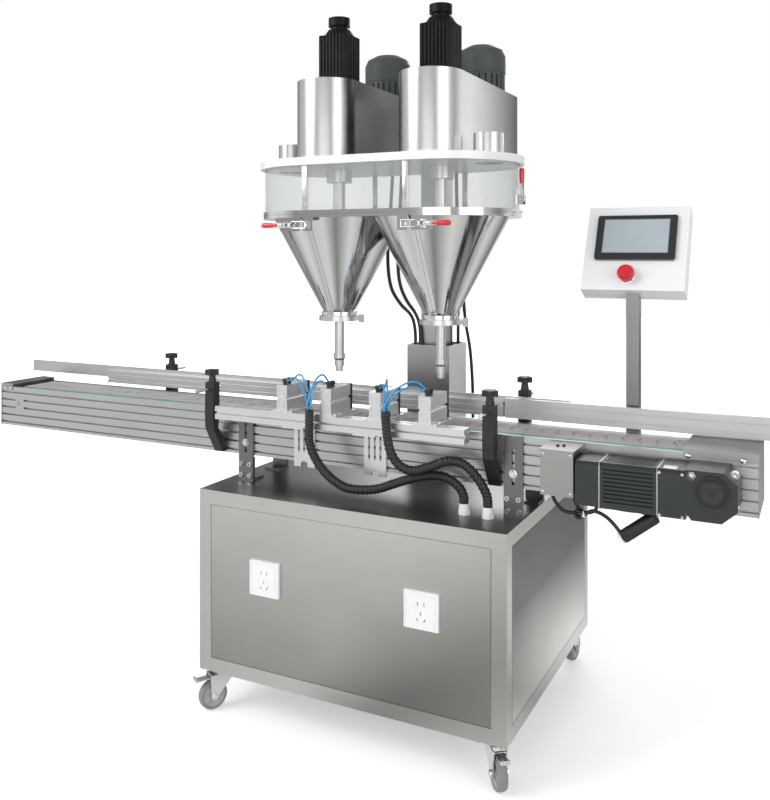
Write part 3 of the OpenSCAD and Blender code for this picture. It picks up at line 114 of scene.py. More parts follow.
def addBump(tree, shader, source, strength, distance):
    bump = node(tree, "ShaderNodeBump")
    bump.inputs["Strength"].default_value = strength
    bump.inputs["Distance"].default_value = distance
    tree.links.new(source, bump.inputs["Height"])
    tree.links.new(bump.outputs["Normal"], shader.inputs["Normal"])


# Metal with fine lines along one axis, soft smudges and a little colour drift
def metal(name, colour, shine=(0.28, 0.4), grain="x", lines=700, bumpDepth=0.00002, drift=0.93):
    made, tree, shader = startMaterial(name)
    along = {"x": (6, lines, lines), "y": (lines, 6, lines), "z": (lines, lines, 6),
             "all": (lines, lines, lines)}
    fine = stretchedNoise(tree, along[grain], 2)
    smudge = stretchedNoise(tree, (5, 5, 7), 4)
    together = node(tree, "ShaderNodeMix")
    together.inputs[0].default_value = 0.45
    tree.links.new(fine, together.inputs[2])
    tree.links.new(smudge, together.inputs[3])
    worn = tuple(channel * drift for channel in colour)
    tree.links.new(blendColours(tree, spread(tree, smudge, 0, 1), colour, worn), shader.inputs["Base Color"])
    tree.links.new(spread(tree, together.outputs[0], *shine), shader.inputs["Roughness"])
    shader.inputs["Metallic"].default_value = 1
    addBump(tree, shader, fine, 0.35, bumpDepth)
    return made


# Paint, plastic or rubber: a base colour with a faint mottle and a fine surface grain
def coated(name, colour, shine=(0.35, 0.5), grainScale=900, bumpDepth=0.00003, metallic=0.0,
           drift=0.88, coat=0.0):
    made, tree, shader = startMaterial(name)
    fine = stretchedNoise(tree, (grainScale,) * 3, 2)
    mottle = stretchedNoise(tree, (18, 18, 18), 4)
    worn = tuple(channel * drift for channel in colour)
    tree.links.new(blendColours(tree, spread(tree, mottle, 0, 1), colour, worn), shader.inputs["Base Color"])
    tree.links.new(spread(tree, mottle, *shine), shader.inputs["Roughness"])
    shader.inputs["Metallic"].default_value = metallic
    shader.inputs["Coat Weight"].default_value = coat
    addBump(tree, shader, fine, 0.4, bumpDepth)
    return made


# Painted reflection and shade on sheet metal: the colour of faces that look along one axis is multiplied by a
# factor that changes from one place to another, a painted stand-in for the dark room the sheet reflects
def paintLightAndShade(made, axis, low, high, atLow, atHigh, along="Z"):
    tree = made.node_tree
    shader = tree.nodes["Principled BSDF"]
    before = shader.inputs["Base Color"].links[0].from_socket
    where = node(tree, "ShaderNodeTexCoord")
    spot = node(tree, "ShaderNodeSeparateXYZ")
    looks = node(tree, "ShaderNodeNewGeometry")
    way = node(tree, "ShaderNodeSeparateXYZ")
    facing = node(tree, "ShaderNodeMath", operation="ABSOLUTE")
    dim = node(tree, "ShaderNodeMix", data_type="RGBA", blend_type="MULTIPLY")
    tree.links.new(where.outputs["Object"], spot.inputs[0])
    tree.links.new(looks.outputs["True Normal"], way.inputs[0])
    tree.links.new(way.outputs[axis], facing.inputs[0])
    tree.links.new(spread(tree, facing.outputs[0], 0, 1, 0.7, 0.9), dim.inputs["Factor"])
    tree.links.new(before, dim.inputs[6])
    tree.links.new(spread(tree, spot.outputs[along], atLow, atHigh, low, high), dim.inputs[7])
    tree.links.new(dim.outputs[2], shader.inputs["Base Color"])


# Colour that changes where one coordinate passes a limit, for motors painted in two tones
def twoTone(made, axis, limit, otherColour):
    tree = made.node_tree
    shader = tree.nodes["Principled BSDF"]
    before = shader.inputs["Base Color"].links[0].from_socket
    where = node(tree, "ShaderNodeTexCoord")
    split = node(tree, "ShaderNodeSeparateXYZ")
    above = node(tree, "ShaderNodeMath", operation="GREATER_THAN")
    above.inputs[1].default_value = limit
    tree.links.new(where.outputs["Object"], split.inputs[0])
    tree.links.new(split.outputs[axis], above.inputs[0])
    tree.links.new(blendColours(tree, above.outputs[0], before, otherColour), shader.inputs["Base Color"])


def clearSheet(name, colour, weight):
    made, tree, shader = startMaterial(name)
    rim = node(tree, "ShaderNodeLayerWeight", Blend=0.35)
    haze = stretchedNoise(tree, (9, 9, 9), 3)
    shader.inputs["Base Color"].default_value = (*colour, 1)
    shader.inputs["IOR"].default_value = 1.49
    tree.links.new(spread(tree, haze, 0.03, 0.09), shader.inputs["Roughness"])
    tree.links.new(spread(tree, rim.outputs["Facing"], *weight, 0, 1), shader.inputs["Alpha"])
    return made


finishes = {
    "sheet": metal("brushed_stainless_sheet", (0.42, 0.42, 0.405), (0.27, 0.37), "x", 900),
    "cabinet": metal("brushed_cabinet_sheet", (0.78, 0.775, 0.74), (0.27, 0.37), "x", 900),
    "front": metal("brushed_panel_sheet", (0.78, 0.775, 0.74), (0.27, 0.37), "x", 900),
    "column": metal("brushed_column_sheet", (0.80, 0.80, 0.78), (0.27, 0.37), "z", 900),
    "bracket": metal("dark_bracket_sheet", (0.22, 0.22, 0.215), (0.27, 0.37), "z", 800),
    "cover": metal("brushed_drive_cover", (0.47, 0.475, 0.475), (0.25, 0.34), "z", 900),
    "cone": metal("polished_hopper", (0.68, 0.68, 0.67), (0.07, 0.14), "x", 260, 0.00001),
    "steel": metal("satin_steel", (0.56, 0.56, 0.55), (0.25, 0.38), "z", 800),
    "bright": metal("bright_steel", (0.78, 0.78, 0.78), (0.12, 0.2), "all", 500),
    "zinc": metal("zinc_plate", (0.66, 0.66, 0.65), (0.2, 0.34), "all", 400),
    "profile": metal("anodised_profile", (0.56, 0.57, 0.57), (0.3, 0.4), "x", 1100),
    "block": metal("anodised_block", (0.80, 0.805, 0.81), (0.28, 0.4), "y", 800),
    "matt": coated("black_moulding", (0.013, 0.013, 0.015), (0.42, 0.55)),
    "motor": coated("dark_motor_paint", (0.036, 0.042, 0.043), (0.32, 0.46), 700, 0.00004, 0.35),
    "headMotor": coated("head_motor_paint", (0.005, 0.005, 0.006), (0.36, 0.5), 700, 0.00003),
    "white": coated("white_plastic", (0.80, 0.81, 0.81), (0.3, 0.38), 600, 0.00001, 0, 0.97, 0.2),
    "panel": coated("panel_paint", (0.86, 0.87, 0.88), (0.34, 0.44), 900, 0.00002, 0.15, 0.97),
    "red": coated("red_grip", (0.62, 0.012, 0.02), (0.22, 0.32), 500, 0.00001, 0, 0.9, 0.35),
    "green": coated("green_wear_strip", (0.05, 0.34, 0.22), (0.36, 0.46)),
    "slat": coated("slat_plastic", (0.45, 0.425, 0.415), (0.42, 0.56), 1200, 0.00004, 0, 0.9),
    "tyre": coated("grey_tyre", (0.24, 0.245, 0.25), (0.5, 0.62), 500, 0.00004),
    "hub": coated("grey_hub", (0.42, 0.43, 0.44), (0.4, 0.5)),
    "rubber": coated("black_rubber", (0.012, 0.012, 0.013), (0.4, 0.55), 900, 0.00003),
    "blue": coated("blue_air_tube", (0.03, 0.27, 0.55), (0.16, 0.24), 300, 0.00001, 0, 0.9, 0.4),
    "gear": coated("gear_housing", (0.42, 0.44, 0.45), (0.36, 0.46)),
    "dark": coated("screen_bezel", (0.02, 0.021, 0.024), (0.2, 0.28), 900, 0.00001, 0, 0.9, 0.3),
    "glass": coated("screen_glass", (0.40, 0.46, 0.50), (0.1, 0.16), 500, 0.000005, 0, 0.93, 0.5),
    "clear": clearSheet("clear_acrylic", (0.60, 0.64, 0.655), (0.13, 0.5)),
}

# Painted shade, highlight and reflection on the sheet metal: finish, facing axis, heights in metres and the
# factor at each
sheetPaintedShade = [
    ("cabinet", "Y", 0.12, 0.56, 0.72, 0.82),
    ("cabinet", "Z", 0.0, 0.6, 0.3, 0.24),
    ("cabinet", "X", 0.12, 0.56, 1.0, 0.8),
    ("front", "Y", 0.12, 0.56, 0.42, 0.83),
    ("front", "X", 0.14, 0.38, 1.2, 0.2),
    ("sheet", "Z", 0.7, 0.8, 0.5, 0.5),
    ("column", "Y", 0.80, 0.97, 0.3, 0.75),
    ("column", "X", 0.6, 0.98, 1.1, 1.2),
]
for finishName, *tone in sheetPaintedShade:
    paintLightAndShade(finishes[finishName], *tone)

# Painted light and shade on the drive covers: they are painted brighter at the front and darken toward the
# rear, and the left one is darker than the right
coverPaintedLight = {"front": 212, "rear": 560, "frontTone": 1.9, "rearTone": 0.12, "left": 400, "right": 600,
              "leftTone": 0.27, "rightTone": 1.0}
paintLightAndShade(finishes["cover"], "X", at(0, coverPaintedLight["front"], 0).y, at(0, coverPaintedLight["rear"], 0).y,
          coverPaintedLight["frontTone"], coverPaintedLight["rearTone"], "Y")
paintLightAndShade(finishes["cover"], "X", at(coverPaintedLight["left"], 0, 0).x, at(coverPaintedLight["right"], 0, 0).x,
          coverPaintedLight["leftTone"], coverPaintedLight["rightTone"], "X")

# The servo motors in front are black, the agitator motors behind them grey
headMotorTones = {"border": 380, "rearColour": (0.075, 0.088, 0.088), "gloss": 0.15}
twoTone(finishes["headMotor"], "Y", at(0, headMotorTones["border"], 0).y, headMotorTones["rearColour"])
headMotorShader = finishes["headMotor"].node_tree.nodes["Principled BSDF"]
headMotorShader.inputs["Specular IOR Level"].default_value = headMotorTones["gloss"]
print("finishes made:", len(finishes))

# Finish of every CAD node that stays in view
nodeFinish = {
    "sheet": ["conveyor_covers"],
    "column": ["column_box"],
    "bracket": ["support_legs", "hmi_post"],
    "cabinet": ["cabinet_shell"],
    "front": ["cabinet_panels", "rear_door"],
    "cover": ["drive_covers"],
    "cone": ["hopper_shells", "hopper_door_left", "hopper_door_right"],
    "steel": ["nozzle_tubes", "column_post", "drive_shaft", "idler_shaft", "agitator_left", "agitator_right"],
    "bright": ["auger_left", "auger_right"],
    "zinc": ["fork_front_left", "fork_front_right", "fork_rear_left", "fork_rear_right", "pedal_front_left",
             "pedal_front_right"],
    "hub": ["wheel_front_left", "wheel_front_right", "wheel_rear_left", "wheel_rear_right"],
    "profile": ["conveyor_frame", "rear_guide"],
    "block": ["cylinder_station"],
    "matt": ["guide_brackets", "knob_front_left", "knob_front_right", "knob_rear_left", "knob_rear_right",
             "piston_1", "piston_2", "piston_3", "piston_4", "door_lock"],
    "motor": ["gear_motor"],
    "white": ["wall_sockets", "cable_glands", "top_plate"],
    "panel": ["hmi_box"],
    "red": ["e_stop_button", "latch_lever_left", "latch_lever_right", "latch_lever_end"],
    "green": ["wear_strips"],
    "slat": ["conveyor_chain"],
    "gear": ["control_gear"],
    "clear": ["clear_shroud"],
    "headMotor": ["head_motors"],
}
for finishName, names in nodeFinish.items():
    for name in names:
        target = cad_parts[name]
        target.data.materials.clear()
        target.data.materials.append(finishes[finishName])
print("CAD nodes finished")


# Mesh helpers: revolved, extruded and bevelled forms gathered into one mesh per piece
def standing(origin, axis):
    return Matrix.Translation(origin) @ Vector(axis).to_track_quat("Z", "Y").to_matrix().to_4x4()


def revolve(mesh, profile, where, sides):
    rings = []
    for radius, height in profile:
        if radius < 0.001:
            rings.append([mesh.verts.new(where @ Vector((0, 0, height / 1000)))] * sides)
            continue
        rings.append([mesh.verts.new(where @ Vector((
            radius / 1000 * cos(2 * pi * k / sides), radius / 1000 * sin(2 * pi * k / sides),
            height / 1000))) for k in range(sides)])
    for low, high in zip(rings, rings[1:]):
        for k in range(sides):
            around = [low[k], low[(k + 1) % sides], high[(k + 1) % sides], high[k]]
            kept = [v for i, v in enumerate(around) if v not in around[:i]]
            if len(kept) > 2:
                mesh.faces.new(kept)


def extrude(mesh, outline, depth, where):
    low = [mesh.verts.new(where @ Vector((x / 1000, y / 1000, 0))) for x, y in outline]
    high = [mesh.verts.new(where @ Vector((x / 1000, y / 1000, depth / 1000))) for x, y in outline]
    mesh.faces.new(low[::-1])
    mesh.faces.new(high)
    for k in range(len(outline)):
        mesh.faces.new([low[k], low[(k + 1) % len(low)], high[(k + 1) % len(low)], high[k]])


def roundedOutline(width, height, radius, steps=5):
    points = []
    for cx, cy, turn in ((1, 1, 0), (-1, 1, 90), (-1, -1, 180), (1, -1, 270)):
        for k in range(steps + 1):
            angle = radians(turn + 90 * k / steps)
            points.append((cx * (width / 2 - radius) + radius * cos(angle),
                           cy * (height / 2 - radius) + radius * sin(angle)))
    return points


def block(mesh, low, high, bevel=0.6):
    made = bmesh.ops.create_cube(mesh, size=1)["verts"]
    a, b = at(*low), at(*high)
    for v in made:
        v.co = Vector(tuple((a[i] + b[i]) / 2 + v.co[i] * abs(b[i] - a[i]) for i in range(3)))
    if bevel:
        edges = list(dict.fromkeys(e for v in made for e in v.link_edges))
        bmesh.ops.bevel(mesh, geom=edges, offset=bevel / 1000, segments=2, profile=0.6, affect="EDGES")


def bolt(mesh, spot, axis, size, kind="socket"):
    where = standing(at(*spot), axis)
    if kind == "hex":
        revolve(mesh, [(size * 1.25, 0), (size * 1.25, 0.8), (0, 0.8)], where, 24)
        revolve(mesh, [(size, 0.6), (size, size * 0.6), (size * 0.9, size * 0.72), (0, size * 0.72)],
                where, 6)
    elif kind == "pan":
        revolve(mesh, [(size, 0), (size * 0.94, size * 0.25), (size * 0.7, size * 0.45),
                       (size * 0.25, size * 0.52), (size * 0.2, size * 0.3), (0, size * 0.3)], where, 20)
    else:
        revolve(mesh, [(size, 0), (size, size * 0.8), (size * 0.9, size * 0.95), (size * 0.5, size * 0.95)],
                where, 24)
        revolve(mesh, [(size * 0.5, size * 0.95), (size * 0.5, size * 0.4), (0, size * 0.4)], where, 6)


def place(name, mesh, finish, body, stands=(), sharp=32):
    bmesh.ops.recalc_face_normals(mesh, faces=mesh.faces)
    for face in mesh.faces:
        face.smooth = True
    for edge in mesh.edges:
        if len(edge.link_faces) == 2 and edge.calc_face_angle(0) > radians(sharp):
            edge.smooth = False
    data = bpy.data.meshes.new(name)
    mesh.to_mesh(data)
    mesh.free()
    made = bpy.data.objects.new(name, data)
    bpy.context.scene.collection.objects.link(made)
    data.materials.append(finishes[finish])
    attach(made, body)
    if stands:
        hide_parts(*stands)
    return made


# Cords: the same smooth line through the same points as the CAD model's tubes
def smoothLine(points, steps):
    points = [Vector(p) for p in points]
    line = []
    for i in range(len(points) - 1):
        a, b, c, d = points[max(i - 1, 0)], points[i], points[i + 1], points[min(i + 2, len(points) - 1)]
        for k in range(steps):
            t = k / steps
            line.append(0.5 * (2 * b + (c - a) * t + (2 * a - 5 * b + 4 * c - d) * t * t
                               + (3 * b - a - 3 * c + d) * t * t * t))
    line.append(points[-1])
    return [at(*p) for p in line]


cordSettings = {"steps": 6, "roundness": 3}


def cordCurve(name, points, thickness, finish, body, cadNode):
    line = smoothLine(points, cordSettings["steps"])
    data = bpy.data.curves.new(name, "CURVE")
    data.dimensions = "3D"
    data.bevel_depth = thickness / 2000
    data.bevel_resolution = cordSettings["roundness"]
    data.use_fill_caps = True
    spline = data.splines.new("POLY")
    spline.points.add(len(line) - 1)
    for point, target in zip(spline.points, line):
        point.co = (*target, 1)
    spline.use_smooth = True
    made = bpy.data.objects.new(name, data)
    bpy.context.scene.collection.objects.link(made)
    data.materials.append(finishes[finish])
    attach(made, body)
    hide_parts(cadNode)
    return made


# Corrugated conduit: rings swept along the line, two wide and two narrow by turns
def conduit(name, points, settings):
    line = smoothLine(points, settings["steps"])
    spaced, carried = [line[0]], 0.0
    for a, b in zip(line, line[1:]):
        carried += (b - a).length
        if carried >= settings["ringStep"] / 1000:
            spaced.append(b)
            carried = 0.0
    if (spaced[-1] - line[-1]).length > settings["endGap"]:
        spaced.append(line[-1])
    mesh = bmesh.new()
    side = Vector((0, 1, 0))
    sides = settings["sides"]
    rings = []
    for i, centre in enumerate(spaced):
        ahead = (spaced[min(i + 1, len(spaced) - 1)] - spaced[max(i - 1, 0)]).normalized()
        side = (side - ahead * side.dot(ahead)).normalized()
        other = ahead.cross(side)
        radius = settings["wide"] if i % 4 in (1, 2) else settings["narrow"]
        angles = [2 * pi * k / sides for k in range(sides)]
        rings.append([mesh.verts.new(centre + (side * cos(a) + other * sin(a)) * radius / 1000)
                      for a in angles])
    for low, high in zip(rings, rings[1:]):
        for k in range(sides):
            mesh.faces.new([low[k], low[(k + 1) % sides], high[(k + 1) % sides], high[k]])
    mesh.faces.new(rings[0][::-1])
    mesh.faces.new(rings[-1])
    made = place(name, mesh, "rubber", "cabinet", ["conduits"], 70)
    return made


conduitSettings = {"steps": 24, "ringStep": 1.6, "endGap": 0.0005, "wide": 11.6, "narrow": 10.2, "sides": 20}
conduit("conduit_left", [
    (308, 44, 800), (308, 44, 785), (308, 44, 770), (308, 44, 720), (320, 46, 685), (345, 50, 650),
    (378, 54, 624), (416, 60, 610), (478, 68, 614), (524, 76, 630), (569, 82, 647), (618, 88, 660),
    (655, 94, 658), (686, 98, 640), (699, 100, 619), (700, 100, 611), (700, 100, 606), (700, 100, 601)],
    conduitSettings)
conduit("conduit_right", [
    (522, 44, 812), (522, 44, 800), (522, 44, 788), (527, 45, 742), (536, 47, 710), (556, 51, 684),
    (588, 58, 674), (628, 66, 686), (662, 74, 700), (692, 82, 701), (716, 88, 688), (740, 92, 662),
    (757, 95, 632), (761, 96, 613), (761, 96, 607), (761, 96, 601)], conduitSettings)

airRoutes = [
    [(217, 81, 862), (221, 81, 862), (225, 81, 862), (242, 72, 871), (268, 58, 866), (290, 48, 838),
     (302, 44, 814), (302, 44, 807), (302, 44, 800)],
    [(217, 101, 862), (221, 101, 862), (225, 101, 862), (248, 90, 877), (278, 66, 872), (300, 53, 840),
     (308, 48, 814), (308, 48, 807), (308, 48, 800)],
    [(337, 81, 862), (334, 81, 862), (331, 81, 862), (324, 70, 868), (318, 58, 860), (315, 48, 835),
     (313, 42, 814), (313, 42, 807), (313, 42, 800)],
    [(337, 101, 862), (334, 101, 862), (331, 101, 862), (324, 84, 882), (318, 62, 874), (310, 48, 845),
     (306, 38, 814), (306, 38, 807), (306, 38, 800)],
    [(486, 81, 862), (489, 81, 862), (492, 81, 862), (502, 70, 871), (511, 58, 866), (516, 48, 845),
     (517, 44, 826), (517, 44, 819), (517, 44, 812)],
    [(486, 101, 862), (489, 101, 862), (492, 101, 862), (504, 86, 882), (516, 62, 874), (522, 52, 848),
     (522, 49, 826), (522, 49, 819), (522, 49, 812)],
    [(609, 81, 862), (605, 81, 862), (601, 81, 862), (588, 72, 870), (562, 58, 866), (538, 48, 846),
     (528, 44, 826), (528, 44, 819), (528, 44, 812)],
    [(609, 101, 862), (605, 101, 862), (601, 101, 862), (582, 88, 880), (556, 64, 874), (534, 48, 850),
     (522, 38, 826), (522, 38, 819), (522, 38, 812)]]
for i, route in enumerate(airRoutes):
    cordCurve("air_tube_%d" % (i + 1), route, 5, "blue", "cabinet", "air_tubes")

headCableRoutes = [
    [(330, 470, 1428), (330, 470, 1418), (330, 470, 1408), (323, 470, 1300), (315, 470, 1180),
     (324, 471, 1095), (352, 474, 1045), (386, 478, 1010), (396, 481, 980), (398, 484, 940),
     (398, 484, 880), (398, 484, 780)],
    [(352, 486, 1428), (352, 486, 1418), (352, 486, 1408), (346, 486, 1300), (340, 486, 1180),
     (346, 486, 1105), (366, 487, 1055), (394, 490, 1016), (408, 489, 984), (413, 485, 940),
     (414, 481, 880), (414, 480, 780)],
    [(498, 552, 1428), (498, 552, 1418), (498, 552, 1408), (498, 558, 1300), (497, 566, 1180),
     (495, 574, 1060), (493, 578, 970), (492, 580, 880), (492, 580, 780)],
    [(520, 562, 1428), (520, 562, 1418), (520, 562, 1408), (512, 584, 1300), (498, 612, 1180),
     (488, 634, 1060), (492, 642, 980), (506, 642, 900), (514, 641, 800), (516, 640, 700),
     (516, 640, 620), (516, 640, 550), (516, 640, 470)]]
for i, route in enumerate(headCableRoutes):
    cordCurve("head_cable_%d" % (i + 1), route, 10, "rubber", "head", "head_cables")

leadRoutes = [
    [(920, 80, 661), (920, 80, 656), (920, 80, 651), (926, 80, 638), (940, 82, 622), (960, 84, 617),
     (980, 84, 622)],
    [(965, 90, 661), (965, 90, 656), (965, 90, 651), (969, 88, 640), (978, 85, 628), (990, 84, 622),
     (1004, 82, 624), (1015, 80, 632), (1018, 80, 641), (1018, 80, 645), (1018, 80, 649)],
    [(984, 84, 610), (1005, 82, 627), (1030, 84, 622), (1052, 84, 606), (1072, 85, 582)],
    [(1044, 85, 648), (1044, 85, 645), (1045, 85, 642), (1058, 85, 639), (1086, 85, 638),
     (1112, 85, 638), (1138, 85, 630)]]
for i, route in enumerate(leadRoutes):
    cordCurve("motor_lead_%d" % (i + 1), route, 8, "rubber", "cabinet", "motor_cable")
print("cords laid")

# Motor capacitor with its cap, and the bundle of leads with its tie
capacitorSettings = {"foot": (1074, 85, 580), "radius": 14.5, "length": 86, "lean": 52}
lean = radians(capacitorSettings["lean"])
capacitorPlace = standing(at(*capacitorSettings["foot"]), (sin(lean), 0, cos(lean)))
r, long = capacitorSettings["radius"], capacitorSettings["length"]
mesh = bmesh.new()
revolve(mesh, [(0, -1), (r - 3, -1), (r - 0.8, 0), (r, 2), (r, 16), (r + 0.5, 17), (r + 0.5, 19), (r, 20),
               (r, long - 3), (r - 1, long - 0.8), (r - 4, long), (0, long)], capacitorPlace, 40)
place("capacitor_can", mesh, "matt", "cabinet", ["motor_cable"])
mesh = bmesh.new()
revolve(mesh, [(0, -9), (8, -9), (12, -7), (13, -4), (13, -1.1), (0, -1.1)], capacitorPlace, 32)
place("capacitor_cap", mesh, "white", "cabinet")
bundleSettings = {"middle": (978, 84, 617), "radius": 9, "lead": 3.4, "loops": 5, "fan": 18,
                  "tie": (989, 84, 620), "tieHead": ((985, 78, 612), (992, 80, 616))}
lead = bundleSettings["lead"]
leadSection = [(bundleSettings["radius"] + lead * cos(a * pi / 6), lead * sin(a * pi / 6)) for a in range(13)]
mesh = bmesh.new()
for loop in range(bundleSettings["loops"]):
    tilt = Matrix.Rotation(radians(bundleSettings["fan"] * (loop - 2)), 4, "X")
    where = Matrix.Translation(at(*bundleSettings["middle"])) @ Matrix.Rotation(radians(90), 4, "X") @ tilt
    revolve(mesh, leadSection, where, 28)
place("lead_bundle", mesh, "rubber", "cabinet", ["motor_cable"])
mesh = bmesh.new()
revolve(mesh, [(5.4, -1.8), (6.2, -1.8), (6.2, 1.8), (5.4, 1.8)],
        standing(at(*bundleSettings["tie"]), (1, 0, 0.35)), 28)
block(mesh, *bundleSettings["tieHead"], 0.4)
place("lead_tie", mesh, "white", "cabinet")
print("motor wiring dressed")

# Operator panel: bezel, lip and screen, each with its width, height and corner, and the switch collar,
# all on the panel's own slope
panelSettings = {"x": 1052, "front": 280, "foot": 1103, "lean": 27, "bezel": (190, 120, 5),
                 "lip": (156, 92, 1.5), "screen": (152, 88, 0.8), "bezelDepth": 8.2, "lipDepth": 8.5,
                 "screenDepth": 8.8, "bezelBevel": 0.0014, "bezelUp": 0.138, "screenUp": 0.141,
                 "stop": (-0.013, 0.037, 0)}
slope = Matrix.Translation(at(panelSettings["x"], panelSettings["front"], panelSettings["foot"])) \
    @ Matrix.Rotation(radians(-panelSettings["lean"]), 4, "X") @ Matrix.Rotation(radians(90), 4, "X")
bezelPlace = slope @ Matrix.Translation((0, panelSettings["bezelUp"], 0.0002))
screenPlace = slope @ Matrix.Translation((0, panelSettings["screenUp"], 0.0002))
mesh = bmesh.new()
extrude(mesh, roundedOutline(*panelSettings["bezel"]), panelSettings["bezelDepth"], bezelPlace)
bmesh.ops.bevel(mesh, geom=[e for e in mesh.edges if e.calc_face_angle(0) > 1],
                offset=panelSettings["bezelBevel"], segments=3, affect="EDGES")
place("screen_bezel", mesh, "dark", "cabinet")
mesh = bmesh.new()
extrude(mesh, roundedOutline(*panelSettings["lip"]), panelSettings["lipDepth"], screenPlace)
place("screen_lip", mesh, "bright", "cabinet")
mesh = bmesh.new()
extrude(mesh, roundedOutline(*panelSettings["screen"]), panelSettings["screenDepth"], screenPlace)
place("screen_glass", mesh, "glass", "cabinet")
mesh = bmesh.new()
stopPlace = slope @ Matrix.Translation(panelSettings["stop"])
revolve(mesh, [(11.2, 3.1), (17.2, 3.1), (18, 2.6), (18, 0.1)], stopPlace, 40)
place("switch_collar", mesh, "bright", "cabinet")
print("operator panel dressed")

# Legs: socket bolts over the studs and a hex bolt in each slot, in front and behind
legSettings = {"lefts": (34, 790), "studIn": 9, "width": 46, "rows": (589, 619), "slotRow": 677, "front": 124,
               "back": 301}
mesh = bmesh.new()
for left in legSettings["lefts"]:
    for y, way in ((legSettings["front"], -1), (legSettings["back"], 1)):
        for z in legSettings["rows"]:
            for across in (legSettings["studIn"], legSettings["width"] - legSettings["studIn"]):
                bolt(mesh, (left + across, y, z), (0, way, 0), 6.2)
        bolt(mesh, (left + legSettings["width"] / 2, y, legSettings["slotRow"]), (0, way, 0), 8, "hex")
place("leg_bolts", mesh, "bright", "cabinet")

# Front guide rods: bright sleeves with chamfered ends over the rods in the brackets
rodSettings = {"brackets": (-28, 769), "radius": 4.35, "height": 823, "front": 17.6, "bracketFront": 74,
               "bracketBack": 102, "back": 122.4}
mesh = bmesh.new()
for x in rodSettings["brackets"]:
    r = rodSettings["radius"]
    for y0, y1 in ((rodSettings["front"], rodSettings["bracketFront"]),
                   (rodSettings["bracketBack"], rodSettings["back"])):
        revolve(mesh, [(0, 0), (r - 0.8, 0), (r, 0.8), (r, y1 - y0 - 0.8), (r - 0.8, y1 - y0), (0, y1 - y0)],
                standing(at(x, y0, rodSettings["height"]), (0, 1, 0)), 28)
place("guide_rods", mesh, "bright", "cabinet")

# Cylinders: dark push-in fittings with blue release rings, and screws in the plates
cylinderSettings = {"lefts": (196, 326, 465, 598), "width": 32, "front": 65, "top": 851, "ports": (16, 36),
                    "elbowHalf": 5.4, "elbowHeights": (857.6, 866.4), "plateTop": 785,
                    "plateScrews": (-8, 40), "plateRows": (72, 100),
                    "bracketScrews": (226, 260, 434, 468), "bracketRow": 735, "bracketFront": 124}
mesh = bmesh.new()
rings = bmesh.new()
for left in cylinderSettings["lefts"]:
    middle = left + cylinderSettings["width"] / 2
    for port in cylinderSettings["ports"]:
        y = cylinderSettings["front"] + port
        revolve(mesh, [(5.2, 0), (5.2, 3), (4.8, 3.4), (4.8, 7)],
                standing(at(middle, y, cylinderSettings["top"]), (0, 0, 1)), 24)
        half = cylinderSettings["elbowHalf"]
        low, high = cylinderSettings["elbowHeights"]
        block(mesh, (middle - half, y - half, low), (middle + half, y + half, high), 1.4)
for route in airRoutes:
    start, way = at(*route[0]), at(*route[1]) - at(*route[0])
    revolve(rings, [(2.6, -0.5), (4.2, -0.5), (4.2, 1.6), (3.6, 2.2), (2.6, 2.2)], standing(start, way), 24)
place("cylinder_fittings", mesh, "matt", "cabinet")
place("release_rings", rings, "blue", "cabinet")
mesh = bmesh.new()
for left in cylinderSettings["lefts"]:
    for across in cylinderSettings["plateScrews"]:
        for y in cylinderSettings["plateRows"]:
            bolt(mesh, (left + across, y, cylinderSettings["plateTop"]), (0, 0, 1), 3.2)
for x in cylinderSettings["bracketScrews"]:
    bolt(mesh, (x, cylinderSettings["bracketFront"], cylinderSettings["bracketRow"]), (0, -1, 0), 4)
place("station_screws", mesh, "bright", "cabinet")
print("front station dressed")

# Gear motor: end cap with ribs, flange bolts, head screws, seams between the castings and a bare sticker
motorSettings = {"capX": 1260, "capZ": 711.72, "capFront": 20, "ribs": 24, "ribSpot": (0.0288, 0, -0.0042),
                 "capScrews": 3, "screwTurn": 35, "screwSpot": (0.0148, 0, -0.001), "seamGrowth": 1.012,
                 "flangeBolts": ((1220, 740), (1302, 748), (1303, 680)), "flangeFront": 47,
                 "headScrews": (1158, 1203), "headRows": (654, 741), "headFront": 30,
                 "seams": (1034, 1153), "axisY": 80, "axisZ": 697.72, "half": 49.6, "cut": 6,
                 "stickerLow": (1163, 42, 747.4), "stickerHigh": (1190, 68, 748.2)}
mesh = bmesh.new()
cap = standing(at(motorSettings["capX"], motorSettings["capFront"], motorSettings["capZ"]), (0, -1, 0))
revolve(mesh, [(32.3, -10), (32.3, -5), (30.5, -3.6), (26.4, -3.4), (26.4, -0.6), (25.4, 0.4), (21, 0.4),
               (20, -0.8), (9, -0.8), (8, 0.2), (0, 0.2)], cap, 64)
for k in range(motorSettings["ribs"]):
    rib = cap @ Matrix.Rotation(radians(15 * k), 4, "Z") @ Matrix.Translation(motorSettings["ribSpot"])
    extrude(mesh, [(-2.6, -0.8), (2.6, -0.8), (2.6, 0.8), (-2.6, 0.8)], 2.2, rib)
for k in range(motorSettings["capScrews"]):
    screw = cap @ Matrix.Rotation(radians(120 * k + motorSettings["screwTurn"]), 4, "Z") \
        @ Matrix.Translation(motorSettings["screwSpot"])
    revolve(mesh, [(2.8, 0), (2.8, 1.4), (1.4, 1.8), (1.4, 0.8), (0, 0.8)], screw, 16)
place("gearbox_cap", mesh, "matt", "cabinet")
mesh = bmesh.new()
for x, z in motorSettings["flangeBolts"]:
    y = motorSettings["flangeFront"]
    revolve(mesh, [(9, 0), (9, 1.2), (0, 1.2)], standing(at(x, y, z), (0, -1, 0)), 32)
    bolt(mesh, (x, y - 1, z), (0, -1, 0), 6.6)
